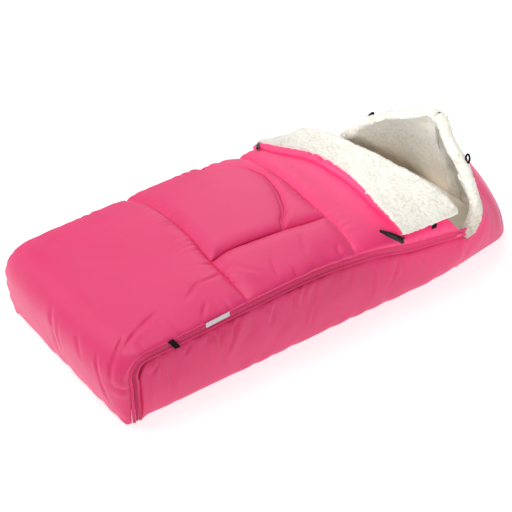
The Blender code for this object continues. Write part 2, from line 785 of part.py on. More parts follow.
def hood_point(t, share, side, depth):
    swelling = HOOD_BULGE * (1 - (1 - t) ** 2) * (1 - t**8) + WALL_BULGE * (1 - t) ** 3
    low, high = hood_floor(t, side), hood_edge(t, side)
    out = hood_outward(t, side)
    if t == 0:
        out = np.array([0.0, side, 0.0])
    return low + (high - low) * share + out * (swelling * math.sin(math.pi * share) ** 0.8 - depth)


HOOD_TS = np.linspace(0, 1, 12)
HOOD_SHARES = np.linspace(0, 1, 8)
HOOD_INSIDE = HOOD_SHELL + CLOTH_GAP + HOOD_FLEECE
HOOD_LAYERS = (
    ("hood_shell", 0.0, HOOD_SHELL, PINK),
    ("hood_fleece", HOOD_SHELL + CLOTH_GAP, HOOD_INSIDE, CREAM),
)


def hood_column(t, side, depth):
    return [hood_point(t, share, side, depth) for share in HOOD_SHARES]


for side_name, side in SIDES.items():
    for name, top, under, material in HOOD_LAYERS:
        outer = [hood_column(t, side, top) for t in HOOD_TS]
        inner = [hood_column(t, side, under) for t in HOOD_TS]
        if material is CREAM:
            # The fleece goes on behind the zip to the middle of the back seam.
            to_middle = np.array([0.0, -side * (RIDGE_Y - CLOTH_GAP), 0.0])
            outer.append([p + to_middle for p in outer[-1]])
            inner.append([p + to_middle for p in inner[-1]])
        between(f"{name}_{side_name}", outer, inner, material, hood_axis)


# Hood edge: a channel along each top edge, and one drawcord that runs through both.
CHANNEL_RADIUS = 0.0045
CHANNEL_BORE = 0.0021
CORD_RADIUS = 0.0016
CHANNEL_STAND_OFF = 0.0014
CHANNEL_DEPTH = 0.0065
CHANNEL_SIDES = 10
CHANNEL_TS = HOOD_TS[1:-1]
CORD_TS = [0.06, *CHANNEL_TS]


def channel_centre(t, side):
    """A point on the channel's middle line, above the hood shell's edge."""
    step = 0.03
    before, after = (hood_point(t + by, 1.0, side, CHANNEL_DEPTH) for by in (-step, step))
    square = np.cross(after - before, hood_outward(t, side))
    square *= math.copysign(1 / np.linalg.norm(square), square[2])
    return hood_point(t, 1.0, side, CHANNEL_DEPTH) + square * (CHANNEL_RADIUS + CHANNEL_STAND_OFF)


for side_name, side in SIDES.items():
    centres = [channel_centre(t, side) for t in CHANNEL_TS]
    outer = np.array(circles(centres, CHANNEL_RADIUS, CHANNEL_SIDES)).transpose(1, 0, 2)
    inner = np.array(circles(centres, CHANNEL_BORE, CHANNEL_SIDES)).transpose(1, 0, 2)
    between(f"hood_channel_{side_name}", outer, inner, PINK, hood_axis, ring=True)
PEAK_CORD_UP = 0.007
PEAK = np.array([HOOD_START + HOOD_LENGTH - HOOD_LEAN - CHANNEL_DEPTH, 0.0, HOOD_PEAK_Z + PEAK_CORD_UP])
cord_line = [channel_centre(t, -1) for t in CORD_TS]
cord_line.append(PEAK)
cord_line.extend(channel_centre(t, 1) for t in reversed(CORD_TS))
loft("drawcord", circles(cord_line, CORD_RADIUS, 8), BLACK_WEB, hood_axis)

# Black cord loops sewn to the outside of the hood's edge, one on each side.
LOOP_PLACES = {"near": 0.58, "far": 0.42}
LOOP_RADIUS = 0.0065
LOOP_CORD = 0.0015
LOOP_STEPS = 14
LOOP_SIDES = 6


def ring_of(centre, first, second, radius, thickness, steps, sides):
    turns = 2 * math.pi * np.arange(steps) / steps
    line = [centre + radius * (math.cos(t) * first + math.sin(t) * second) for t in turns]
    return circles(line, thickness, sides, ring=True)


for side_name, side in SIDES.items():
    t = LOOP_PLACES[side_name]
    along = channel_centre(t + 0.02, side) - channel_centre(t - 0.02, side)
    along /= np.linalg.norm(along)
    away = np.cross(along, np.array([0.0, 0.0, 1.0])) * -side
    away /= np.linalg.norm(away)
    out = away + np.array([0.0, 0.0, 0.5])
    out /= np.linalg.norm(out)
    stand = CHANNEL_RADIUS + LOOP_RADIUS + LOOP_CORD + CLOTH_GAP
    centre = channel_centre(t, side) + out * stand
    sections = ring_of(centre, out, along, LOOP_RADIUS, LOOP_CORD, LOOP_STEPS, LOOP_SIDES)
    loft(f"cord_loop_{side_name}", sections, BLACK_WEB, hood_axis, ring=True)

# Zip down the hood's back seam. Its frame: along the ridge, across it and out of it.
ZIP_DEPTH = 0.006
RIDGE_FOOT = np.array([hood_floor(1.0, 1)[0] - ZIP_DEPTH, 0.0, 0.0])
RIDGE_TOP = np.array([hood_edge(1.0, 1)[0] - ZIP_DEPTH, 0.0, HOOD_PEAK_Z])
RIDGE_LENGTH = np.linalg.norm(RIDGE_TOP - RIDGE_FOOT)
RIDGE_UP = (RIDGE_TOP - RIDGE_FOOT) / RIDGE_LENGTH
RIDGE_OUT = np.cross(np.array([0.0, 1.0, 0.0]), RIDGE_UP)
HOOD_ZIP_INSET = 0.006  # from the peak down to the end of the zip
HOOD_ZIP_START = 0.030
HOOD_ZIP_END = RIDGE_LENGTH - HOOD_ZIP_INSET


def placed(outline, at, across_by, out_by):
    """Points of an outline given as across and out, at a place."""
    return [at + a * across_by + b * out_by for a, b in outline]


HALF_TAPE = TAPE_THICKNESS / 2
HALF_TEETH = TEETH_THICKNESS / 2
ZIP_PROFILE = [
    (TAPE_OUT, -HALF_TAPE),
    (ROW_OUT, -HALF_TAPE),
    (ROW_OUT, -HALF_TEETH),
    (ROW_IN, -HALF_TEETH),
    (ROW_IN, HALF_TEETH),
    (ROW_OUT, HALF_TEETH),
    (ROW_OUT, HALF_TAPE),
    (TAPE_OUT, HALF_TAPE),
]
for side_name, side in SIDES.items():
    sections = []
    for reach in (HOOD_ZIP_START, HOOD_ZIP_END):
        foot = RIDGE_FOOT + RIDGE_UP * reach
        sections.append(placed(ZIP_PROFILE, foot, np.array([0.0, side, 0.0]), RIDGE_OUT))
    loft(f"hood_zip_{side_name}", sections, PINK_TEETH, hood_axis)

# Zip sliders: two plates joined by a web between the rows of teeth, and a bridge that holds the pull.
SLIDER_LENGTH = 0.013
SLIDER_HALF_WIDTH = 0.0055
SLIDER_PLATE = 0.0014
WEB_HALF = 0.0004
PLATE_IN = HALF_TEETH + GAP
PLATE_OUT = PLATE_IN + SLIDER_PLATE
SLIDER_PROFILE = [
    (-SLIDER_HALF_WIDTH, -PLATE_OUT),
    (SLIDER_HALF_WIDTH, -PLATE_OUT),
    (SLIDER_HALF_WIDTH, -PLATE_IN),
    (WEB_HALF, -PLATE_IN),
    (WEB_HALF, PLATE_IN),
    (SLIDER_HALF_WIDTH, PLATE_IN),
    (SLIDER_HALF_WIDTH, PLATE_OUT),
    (-SLIDER_HALF_WIDTH, PLATE_OUT),
    (-SLIDER_HALF_WIDTH, PLATE_IN),
    (-WEB_HALF, PLATE_IN),
    (-WEB_HALF, -PLATE_IN),
    (-SLIDER_HALF_WIDTH, -PLATE_IN),
]
BRIDGE_HALF = 0.0010
BRIDGE_INSIDE = 0.0022
BRIDGE_OUTSIDE = 0.0034
BRIDGE_CLEAR = 0.0030
BRIDGE_TOP = BRIDGE_CLEAR + 0.0012
BRIDGE_SINK = 0.0005  # the legs run this far into the plate
BRIDGE_PROFILE = [
    (-BRIDGE_OUTSIDE, PLATE_OUT - BRIDGE_SINK),
    (-BRIDGE_INSIDE, PLATE_OUT - BRIDGE_SINK),
    (-BRIDGE_INSIDE, PLATE_OUT + BRIDGE_CLEAR),
    (BRIDGE_INSIDE, PLATE_OUT + BRIDGE_CLEAR),
    (BRIDGE_INSIDE, PLATE_OUT - BRIDGE_SINK),
    (BRIDGE_OUTSIDE, PLATE_OUT - BRIDGE_SINK),
    (BRIDGE_OUTSIDE, PLATE_OUT + BRIDGE_TOP),
    (-BRIDGE_OUTSIDE, PLATE_OUT + BRIDGE_TOP),
]
PIN_OUT = PLATE_OUT + BRIDGE_CLEAR / 2  # the pull's own axis, above the teeth's middle plane


def add_boolean(piece, other, operation):
    other.hide_render = True
    other.display_type = "WIRE"
    step = piece.modifiers.new(f"{operation.lower()} {other.name}", "BOOLEAN")
    step.operation = operation
    step.solver = "EXACT"
    step.object = other


def zip_slider(name, centre, along, over, out, material, axis):
    """A slider whose middle is at centre, with its bridge on the outer side."""
    ends = (centre - along * SLIDER_LENGTH / 2, centre + along * SLIDER_LENGTH / 2)
    body = loft(name, [placed(SLIDER_PROFILE, end, over, out) for end in ends], material, axis)
    widths = (centre - over * BRIDGE_HALF, centre + over * BRIDGE_HALF)
    bridge = loft(f"{name}_bridge", [placed(BRIDGE_PROFILE, w, along, out) for w in widths], material, axis)
    add_boolean(body, bridge, "UNION")
    return body


# Side sliders, shut at the head end of the zips, and their holed pulls, which lie toward the foot.
SLIDER_BACK = 0.010  # from the end of the teeth to the slider's middle
PULL_LENGTH = 0.024
PULL_HALF_WIDTH = 0.0038
PULL_THICKNESS = 0.0014
PULL_WINDOW = 0.0052
PULL_WINDOW_HALF = 0.0016
PULL_HOLE = 0.0022
side_slider_x = SLIDER_X - SLIDER_BACK
TOWARD_FOOT = np.array([-1.0, 0.0, -STRAIGHT_SLOPE]) / math.hypot(1, STRAIGHT_SLOPE)


def pull_tab(name, pin, along, over, out, axis):
    """A flat pull whose first bar turns in the slider's bridge; a window lets the bridge through."""
    half = PULL_THICKNESS / 2
    tip = PULL_LENGTH - PULL_HALF_WIDTH
    outline = [(-half, -PULL_HALF_WIDTH * 0.8), (-half, PULL_HALF_WIDTH * 0.8)]
    turns = np.linspace(math.pi / 2, -math.pi / 2, 9)
    outline += [(tip + PULL_HALF_WIDTH * math.cos(t), PULL_HALF_WIDTH * math.sin(t)) for t in turns]
    plate = loft(name, [placed(outline, pin + out * o, along, over) for o in (-half, half)], PINK_TEETH, axis)
    window = [(half, -PULL_WINDOW_HALF), (half, PULL_WINDOW_HALF)]
    window += [(PULL_WINDOW, PULL_WINDOW_HALF), (PULL_WINDOW, -PULL_WINDOW_HALF)]
    around = 2 * math.pi * np.arange(12) / 12
    hole = [(tip + PULL_HOLE * math.cos(t), PULL_HOLE * math.sin(t)) for t in around]
    for cutter_name, shape in (("window", window), ("hole", hole)):
        levels = [placed(shape, pin + out * o, along, over) for o in (-PULL_THICKNESS, PULL_THICKNESS)]
        cutter = loft(f"{name}_{cutter_name}", levels, PINK_TEETH, axis)
        add_boolean(plate, cutter, "DIFFERENCE")
    return plate


for side_name, side in SIDES.items():
    out = np.array([0.0, side, 0.0])
    over = np.cross(TOWARD_FOOT, out)
    centre = np.array([side_slider_x, side * ZIP_Y, zip_z(side_slider_x)])
    slide_axis = make_axis(f"slider_axis_{side_name}", centre)
    zip_slider(f"slider_{side_name}", centre, TOWARD_FOOT, over, out, PINK_TEETH, slide_axis)
    pin = centre + out * PIN_OUT
    pull_axis = make_axis(f"pull_axis_{side_name}", pin, slide_axis)
    pull_tab(f"pull_{side_name}", pin, TOWARD_FOOT, over, out, pull_axis)

# Hood slider and its ring pull, which stands up at the peak.
RING_RADIUS = 0.0062
RING_WIRE = 0.0008
HOOD_SLIDER_BACK = 0.011
Y_AXIS = np.array([0.0, 1.0, 0.0])
hood_slider_centre = RIDGE_FOOT + RIDGE_UP * (HOOD_ZIP_END - HOOD_SLIDER_BACK)
hood_slider_axis = make_axis("hood_slider_axis", hood_slider_centre, hood_axis)
zip_slider("hood_slider", hood_slider_centre, RIDGE_UP, Y_AXIS, RIDGE_OUT, PINK_TEETH, hood_slider_axis)
ring_pin = hood_slider_centre + RIDGE_OUT * PIN_OUT
ring_axis = make_axis("hood_ring_axis", ring_pin, hood_slider_axis)
sections = ring_of(ring_pin + RIDGE_UP * RING_RADIUS, RIDGE_UP, Y_AXIS, RING_RADIUS, RING_WIRE, 20, 6)
loft("hood_ring_pull", sections, STEEL, ring_axis, ring=True)

# Black webbing strip over each zip near the foot, sewn to the side wall.
STRIP_X = -0.373
STRIP_WIDTH = 0.012
STRIP_REACH = 0.0165  # above and below the teeth
STRIP_THICKNESS = 0.0013
STRIP_LOW_Y = HALF_WIDTH + 0.0007  # on the wall
STRIP_HIGH_Y = HALF_WIDTH + 0.0036  # on the cover's edge, which swells out further


def side_patch(name, side, xs, heights, ys, thickness, material, axis=None):
    """A flat patch on the side of the zip band; its low and high edges have their own height and place."""
    grids = []
    for grow in (thickness, 0.0):
        rows = [[np.array([x, side * (y + grow), zip_z(x) + h]) for h, y in zip(heights, ys)] for x in xs]
        grids.append(rows)
    return between(name, grids[0], grids[1], material, axis)


strip_xs = (STRIP_X - STRIP_WIDTH / 2, STRIP_X + STRIP_WIDTH / 2)
strip_heights = (-STRIP_REACH, STRIP_REACH)
strip_ys = (STRIP_LOW_Y, STRIP_HIGH_Y)
for side_name, side in SIDES.items():
    side_patch(f"zip_strap_{side_name}", side, strip_xs, strip_heights, strip_ys, STRIP_THICKNESS, BLACK_WEB)

# Bare label sewn into the seam above the near zip.
LABEL_XS = np.linspace(-0.315, -0.258, 4)
LABEL_HEIGHTS = (0.003, 0.020)
LABEL_Y = HALF_WIDTH + 0.0036
LABEL_THICKNESS = 0.0012
side_patch(
    "side_label", -1, LABEL_XS, LABEL_HEIGHTS, (LABEL_Y, LABEL_Y), LABEL_THICKNESS, LABEL_GREY, cover_axis
)

# Horn toggles beside the collar's corners, each on a webbing tab that is sewn to the hem.
TAB_THICKNESS = 0.0016
TAB_HALF_ANGLE = math.radians(2.5)
TAB_LENGTH = 0.004
TAB_ANGLE = math.radians(76)
TOGGLE_RADII = (0.0022, 0.0042, 0.0052, 0.0050, 0.0032)
TOGGLE_ANGLES = np.radians([52, 60, 68, 76, 83])
TOGGLE_BACKS = (0.036, 0.026, 0.0155, 0.0054, 0.0050)  # from the tab's end toward the foot
TOGGLE_DEPTH = -(PUFF + max(TOGGLE_RADII) + CLOTH_GAP)
HEM_FOOT_X = COLLAR_FOOT_X - GAP - HEM_WIDTH
TAB_END_X = HEM_FOOT_X - GAP - TAB_LENGTH


def on_cover(x, theta, depth):
    return cover_point(u_at(x, theta), theta, depth)


for side_name, side in SIDES.items():
    angles = [side * (TAB_ANGLE - TAB_HALF_ANGLE), side * (TAB_ANGLE + TAB_HALF_ANGLE)]
    tab_outer, tab_inner = [], []
    for x in (TAB_END_X, HEM_FOOT_X - GAP):
        tab_outer.append([on_cover(x, a, TOGGLE_DEPTH - TAB_THICKNESS / 2) for a in angles])
        tab_inner.append([on_cover(x, a, TOGGLE_DEPTH + TAB_THICKNESS / 2) for a in angles])
    between(f"toggle_tab_{side_name}", tab_outer, tab_inner, BLACK_WEB, collar_axis)
    toggle_axis = make_axis(
        f"toggle_axis_{side_name}", on_cover(TAB_END_X - GAP, side * TAB_ANGLE, TOGGLE_DEPTH), collar_axis
    )
    line = []
    for back, angle in zip(TOGGLE_BACKS, TOGGLE_ANGLES):
        line.append(on_cover(TAB_END_X - back, side * angle, TOGGLE_DEPTH))
    loft(f"toggle_{side_name}", circles(line, TOGGLE_RADII, 10), BLACK_HORN, toggle_axis)

# Short black tab on the near side edge of the collar, by the fold.
EDGE_TAB_X = (FOLD_X - 0.032, FOLD_X - 0.020)
EDGE_TAB_DEPTH = COLLAR_UNDER - 0.006
EDGE_TAB_DROP = 0.014
EDGE_TAB_THICKNESS = 0.0016
EDGE_TAB_OUTLINE = [
    (0.0, -CLOTH_GAP),
    (EDGE_TAB_THICKNESS, -CLOTH_GAP),
    (EDGE_TAB_THICKNESS, -EDGE_TAB_DROP),
    (0.0, -EDGE_TAB_DROP),
]
edge_tab = []
for x in EDGE_TAB_X:
    top = on_cover(x, -COLLAR_ANGLE, EDGE_TAB_DEPTH)
    section = []
    for y, z in EDGE_TAB_OUTLINE:
        section.append(top + np.array([0.0, -y, z]))
    edge_tab.append(section)
loft("collar_edge_tab", edge_tab, BLACK_WEB, collar_axis)

# Back panel and its fleece, each in three parts, with five slots for a harness in their cross seams.
BACK_THICKNESS = 0.012
BACK_FLEECE_BASE = BACK_THICKNESS + CLOTH_GAP
BACK_FLEECE_TOP = BACK_FLEECE_BASE + 0.0094
BACK_FOOT_X = FOOT_X + LINING_UNDER + FOOT_TUCK + 0.004
BACK_CORNER = 0.035
BACK_HEAD_CLEARANCE = 0.010  # the hood leans in over the back panel's edge
SLIDER_CLEARANCE = 0.008  # the straight sides end this far before the sliders
SLOT_LENGTH = 0.046
SLOT_WIDTH = 0.011
CUT_PAST = 0.01  # a cutter runs this far past both faces
WAIST_SEAM_X = -0.110
SHOULDER_SEAM_X = 0.200
SLOTS = {
    "shoulder_near": (SHOULDER_SEAM_X, -0.055),
    "shoulder_far": (SHOULDER_SEAM_X, 0.055),
    "waist_near": (WAIST_SEAM_X, -0.120),
    "waist_far": (WAIST_SEAM_X, 0.120),
    "crotch": (WAIST_SEAM_X, 0.0),
}


def back_side():
    """Points along the back panel's far side, from the foot end to the head end."""
    stack = LINING_UNDER + CLOTH_GAP
    wide = FLOOR_HALF_WIDTH - stack
    points = []
    for t in np.linspace(math.pi / 2, 0, 6):
        x = BACK_FOOT_X + BACK_CORNER * (1 - math.sin(t))
        points.append((x, wide - BACK_CORNER * (1 - math.cos(t))))
    points += [(x, floor_y(x) - stack) for x in np.linspace(WALL_TAPER_X, SLIDER_X - SLIDER_CLEARANCE, 5)]
    for t in np.linspace(0.03, 1.0, 14):
        inside = hood_floor(t, 1) - hood_outward(t, 1) * (HOOD_INSIDE + BACK_HEAD_CLEARANCE)
        points.append((inside[0], inside[1]))
    return points


def back_outline(start_x, end_x):
    """Outline of the back panel between two places along it."""
    side = back_side()
    xs, ys = zip(*side)
    points = [(x, y) for x, y in side if start_x < x < end_x]
    if start_x > xs[0]:
        points.insert(0, (start_x, np.interp(start_x, xs, ys)))
    if end_x < xs[-1]:
        points.append((end_x, np.interp(end_x, xs, ys)))
    return points + [(x, -y) for x, y in reversed(points)]


def slot_outline(place):
    """A slot's outline, long across the panel, with round ends."""
    reach = (SLOT_LENGTH - SLOT_WIDTH) / 2
    radius = SLOT_WIDTH / 2
    points = []
    for end, first in ((1, -math.pi / 2), (-1, math.pi / 2)):
        for t in np.linspace(first, first + math.pi, 6):
            points.append((place[0] - radius * math.sin(t), place[1] + end * reach + radius * math.cos(t)))
    return points


BACK_PARTS = {
    "foot": (FOOT_X, WAIST_SEAM_X - GAP / 2),
    "middle": (WAIST_SEAM_X + GAP / 2, SHOULDER_SEAM_X - GAP / 2),
    "head": (SHOULDER_SEAM_X + GAP / 2, HEAD_X),
}
BACK_LAYERS = (
    ("back_panel", 0.0, BACK_THICKNESS, PINK),
    ("back_fleece", BACK_FLEECE_BASE, BACK_FLEECE_TOP, CREAM),
)
cutters = {}
for name, place in SLOTS.items():
    heights = (-CUT_PAST, BACK_FLEECE_TOP + CUT_PAST)
    levels = [[np.array([x, y, z]) for x, y in slot_outline(place)] for z in heights]
    cutters[name] = loft(f"slot_cutter_{name}", levels, PINK)
for layer_name, low, high, material in BACK_LAYERS:
    for part_name, (start_x, end_x) in BACK_PARTS.items():
        outline = back_outline(start_x, end_x)
        levels = [[np.array([x, y, z]) for x, y in outline] for z in (low, high)]
        piece = loft(f"{layer_name}_{part_name}", levels, material)
        for name, (slot_x, _) in SLOTS.items():
            if abs(start_x - slot_x) < SLOT_WIDTH or abs(end_x - slot_x) < SLOT_WIDTH:
                add_boolean(piece, cutters[name], "DIFFERENCE")
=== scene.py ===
import math

import bpy
import numpy as np
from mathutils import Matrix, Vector


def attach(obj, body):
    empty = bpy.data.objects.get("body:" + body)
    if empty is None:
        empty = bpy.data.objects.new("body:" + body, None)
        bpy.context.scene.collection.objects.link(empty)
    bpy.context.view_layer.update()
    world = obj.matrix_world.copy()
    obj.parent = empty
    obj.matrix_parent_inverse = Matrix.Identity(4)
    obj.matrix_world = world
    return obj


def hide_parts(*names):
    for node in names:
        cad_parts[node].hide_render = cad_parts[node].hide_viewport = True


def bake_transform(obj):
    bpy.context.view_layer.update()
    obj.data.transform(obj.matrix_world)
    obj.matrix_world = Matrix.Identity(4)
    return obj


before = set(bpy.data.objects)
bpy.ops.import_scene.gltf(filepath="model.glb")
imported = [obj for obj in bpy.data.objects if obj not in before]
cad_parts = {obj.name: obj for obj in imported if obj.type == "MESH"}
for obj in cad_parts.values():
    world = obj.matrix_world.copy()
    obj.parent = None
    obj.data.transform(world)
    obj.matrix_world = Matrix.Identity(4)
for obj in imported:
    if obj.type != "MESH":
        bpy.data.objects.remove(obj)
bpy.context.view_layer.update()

# Looks of the padded footmuff: satin nylon shells over wadding, a curly pile lining, coil zips and small trims,
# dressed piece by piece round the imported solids, in the order in which the bag is sewn together.

# Back panel. The bag's base: three quilted panels of satin nylon over wadding, stitched together at two cross
# seams. It lies flat on the floor, and the side walls are sewn to its long edges.
WAIST_SEAM_X, SHOULDER_SEAM_X = -0.110, 0.200
BASE_MESH = 0.004  # spacing of the base's faces
BASE_SEAM_DIP, BASE_SEAM_REACH = 0.0016, 0.008
BASE_FLATNESS = 0.0005  # most that the cloth stands proud of the flat base


def linear(code):
    """A colour picked as sRGB hex, turned to the linear values that the shaders take."""
    parts = [int(code[i : i + 2], 16) / 255 for i in (1, 3, 5)]
    return [c / 12.92 if c <= 0.04045 else ((c + 0.055) / 1.055) ** 2.4 for c in parts] + [1.0]


def add(tree, kind, inputs=(), **settings):
    """Adds a node with its settings; inputs maps a socket to a value or to another node's output."""
    made = tree.nodes.new(kind)
    for key, value in settings.items():
        setattr(made, key, value)
    for key, value in dict(inputs).items():
        if isinstance(value, bpy.types.NodeSocket):
            tree.links.new(value, made.inputs[key])
        else:
            made.inputs[key].default_value = value
    return made


def finish_named(name, surface):
    """A material whose Principled shader has these values; its tree and shader are returned for what is added."""
    material = bpy.data.materials.new(name)
    material.use_nodes = True
    tree = material.node_tree
    shader = tree.nodes["Principled BSDF"]
    for key, value in surface.items():
        shader.inputs[key].default_value = value
    return material, tree, shader


# Satin-woven nylon, calendered: close smooth cloth with a broad soft gloss. Its threads, 0.1 mm apart, are too fine
# to show, so the grain is drawn at 0.8 mm, and a slow change in the dye keeps large panels from looking flat.
satin, tree, shader = finish_named(
    "satin_nylon_pink", {"Roughness": 0.5, "IOR": 1.5, "Sheen Weight": 0.3, "Sheen Roughness": 0.4}
)
shader.inputs["Sheen Tint"].default_value = linear("#FFB8D2")
place = add(tree, "ShaderNodeTexCoord")
dye = add(tree, "ShaderNodeTexNoise", {"Vector": place.outputs["Object"], "Scale": 9.0, "Detail": 3.0})
tones = {"Factor": dye.outputs["Fac"], "A": linear("#EE3372"), "B": linear("#F43C7C")}
shade = add(tree, "ShaderNodeMix", tones, data_type="RGBA")
tree.links.new(shade.outputs["Result"], shader.inputs["Base Color"])
grain = add(tree, "ShaderNodeTexNoise", {"Vector": place.outputs["Object"], "Scale": 1250.0, "Detail": 1.0})
weave = add(tree, "ShaderNodeBump", {"Height": grain.outputs["Fac"], "Strength": 0.06, "Distance": 0.0002})
tree.links.new(weave.outputs["Normal"], shader.inputs["Normal"])


def lattice(ix, iy, iz, seed):
    """A steady pseudo-random number from 0 to 1 for each whole-number place."""
    h = ix.astype(np.int64) * 374761393 + iy.astype(np.int64) * 668265263 + iz.astype(np.int64) * 1440662683
    h = (h + seed * 974711) & 0xFFFFFFFF
    h = ((h ^ (h >> 13)) * 1274126177) & 0xFFFFFFFF
    return ((h ^ (h >> 16)) & 0xFFFF) / 65535.0


def drift(x, y, z=0.0, seed=0):
    """Smooth noise from 0 to 1 that changes over about one unit."""
    x, y, z = np.broadcast_arrays(np.asarray(x, float), np.asarray(y, float), np.asarray(z, float))
    fx, fy, fz = np.floor(x), np.floor(y), np.floor(z)
    tx, ty, tz = (v * v * v * (v * (v * 6 - 15) + 10) for v in (x - fx, y - fy, z - fz))
    total = 0.0
    for i, wx in ((0, 1 - tx), (1, tx)):
        for j, wy in ((0, 1 - ty), (1, ty)):
            for k, wz in ((0, 1 - tz), (1, tz)):
                total = total + lattice(fx + i, fy + j, fz + k, seed) * wx * wy * wz
    return total


def die_away(distance, reach):
    """1 at a seam, dying away over about this reach."""
    return np.exp(-distance / reach)


def gathers(along, away, seed, pitch, reach, size):
    """Puckers that run out from a seam: rounded ridges with narrow valleys, uneven in spacing and in length."""
    warp = 1.1 * drift(along / (2.3 * pitch), 0.0, 3.0, seed + 5)
    warp = warp + 0.5 * drift(along / 0.05, away / 0.03, 3.0, seed + 6)
    ridge = np.abs(np.sin(np.pi * (along / pitch + warp)))
    strength = np.clip(1.8 * drift(along / (1.7 * pitch), 0.0, 7.0, seed + 9) - 0.25, 0.0, 1.4)
    length = reach * (0.5 + drift(along / (1.3 * pitch), 0.0, 11.0, seed + 11))
    return 0.7 * size * (ridge - 0.5) * strength * np.exp(-((np.abs(away) / length) ** 1.3))


def in_scene(name, data):
    """An object with this mesh, lamp or camera, put in the scene."""
    made = bpy.data.objects.new(name, data)
    bpy.context.scene.collection.objects.link(made)
    return made


def finished_mesh(holder, name):
    """The mesh that the holder's modifiers make; the holder is removed."""
    mesh = bpy.data.meshes.new_from_object(holder.evaluated_get(bpy.context.evaluated_depsgraph_get()))
    bpy.data.objects.remove(holder)
    mesh.name = name
    return mesh


def remeshed(node, name, voxel):
    """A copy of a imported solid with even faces, joined at its doubles first."""
    copy = in_scene(name + "_copy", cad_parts[node].data.copy())
    weld = copy.modifiers.new("weld", "WELD")
    weld.merge_threshold = 0.00005
    even = copy.modifiers.new("remesh", "REMESH")
    even.mode = "VOXEL"
    even.voxel_size = voxel
    mesh = finished_mesh(copy, name)
    mesh.materials.clear()
    mesh.shade_smooth()
    return in_scene(name, mesh)


def read_points(piece):
    """The corners of a piece's mesh, one to a row."""
    points = np.empty(len(piece.data.vertices) * 3)
    piece.data.vertices.foreach_get("co", points)
    return points.reshape(-1, 3)


def write_points(piece, points):
    """Moves the corners of a piece's mesh to these places."""
    piece.data.vertices.foreach_set("co", points.ravel())
    piece.data.update()


def read_normals(piece):
    """The outward direction at each corner."""
    normals = np.empty(len(piece.data.vertices) * 3)
    piece.data.vertices.foreach_get("normal", normals)
    return normals.reshape(-1, 3)


for part in ("foot", "middle", "head"):
    base = remeshed(f"back_panel_{part}", f"base_{part}", BASE_MESH)
    base.data.materials.append(satin)
    points, normals = read_points(base), read_normals(base)
    to_seam = np.minimum(abs(points[:, 0] - WAIST_SEAM_X), abs(points[:, 0] - SHOULDER_SEAM_X))
    pull = -BASE_SEAM_DIP * die_away(to_seam, BASE_SEAM_REACH)
    pull = pull + gathers(points[:, 1], to_seam, 11, pitch=0.022, reach=0.03, size=0.0012)
    pull = np.minimum(pull + 0.0008 * (drift(*(points / 0.05).T, 12) - 0.6), BASE_FLATNESS)
    points = points + normals * pull[:, None]
    points[:, 2] = np.maximum(points[:, 2], 0.0)
    write_points(base, points)
    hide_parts(f"back_panel_{part}")
    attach(base, "root")

# Fleece on the back panel: a knitted pile of acrylic curls, 9 mm deep, sewn in at the same cross seams.
# The curls lie in clumps of 3 to 6 mm, cream at their tips; down between them they are painted darker and warmer as
# shade.
BETWEEN_CURLS, TIPS = 0.34, 0.72  # the pile attribute down between the curls, where it gives painted shade, and on their tips
CURL, SMALL_CURL, LUMP = 0.0062, 0.0031, 0.028  # widths of the curls, and of the slow lumps in the pile
FLEECE_MESH, BASE_PILE = 0.0036, 0.0028
PILE_FOOT_Z, UNDER_HOOD_X = 0.014, 0.25  # the curls stand up above this, and past that the pile takes painted shade, darker and warmer, under the hood
curls, tree, shader = finish_named(
    "curly_pile_cream", {"Roughness": 0.95, "Sheen Weight": 0.45, "Sheen Roughness": 0.6, "Specular IOR Level": 0.25}
)
height = add(tree, "ShaderNodeAttribute", attribute_name="pile")
ramp = add(tree, "ShaderNodeValToRGB", {"Fac": height.outputs["Fac"]})
shaded_end, tip_end = ramp.color_ramp.elements
# Painted shade: the ramp's bottom colour is the warm tan of the deepest painted shade.
shaded_end.color, shaded_end.position = linear("#E3CFAD"), 0.0
tip_end.color, tip_end.position = linear("#E4E1D7"), TIPS
# Painted shade: this middle stop colours the pile darker and warmer down between the curls.
ramp.color_ramp.elements.new(BETWEEN_CURLS).color = linear("#C6BBA6")
tree.links.new(ramp.outputs["Color"], shader.inputs["Base Color"])
place = add(tree, "ShaderNodeTexCoord")
fibre = add(tree, "ShaderNodeTexNoise", {"Vector": place.outputs["Object"], "Scale": 700.0, "Detail": 3.0})
fuzz = add(tree, "ShaderNodeBump", {"Height": fibre.outputs["Fac"], "Strength": 0.5, "Distance": 0.0012})
tree.links.new(fuzz.outputs["Normal"], shader.inputs["Normal"])


def share_of(distance, whole):
    """How much of the whole distance has been covered, from 0 to 1."""
    return np.clip(distance / whole, 0, 1)


def clump(points, cell, seed):
    """1 at the middle of a clump of curls and 0 between clumps; the middles are scattered one to a cell."""
    at = points / cell
    base = np.floor(at)
    nearest = np.full(len(points), 9.0)
    for i in (-1, 0, 1):
        for j in (-1, 0, 1):
            for k in (-1, 0, 1):
                x, y, z = (base + (i, j, k)).T
                spot = np.stack([lattice(x, y, z, seed + n) for n in (1, 2, 3)], 1)
                nearest = np.minimum(nearest, np.sum((base + (i, j, k) + spot - at) ** 2, 1))
    return np.clip(1 - np.sqrt(nearest) / 0.85, 0, 1)


def pile(points, seed):
    """Height of the curls from 0 to 1."""
    bent = points + 0.0022 * (np.stack([drift(*(points / 0.006).T, seed + n) for n in (4, 5, 6)], 1) - 0.5)
    coarse, fine = clump(bent, CURL, seed), clump(bent, SMALL_CURL, seed + 20)
    lumps = drift(*(points / LUMP).T, seed + 30)
    return np.clip(0.52 * coarse**0.8 + 0.28 * fine + 0.32 * lumps, 0, 1)


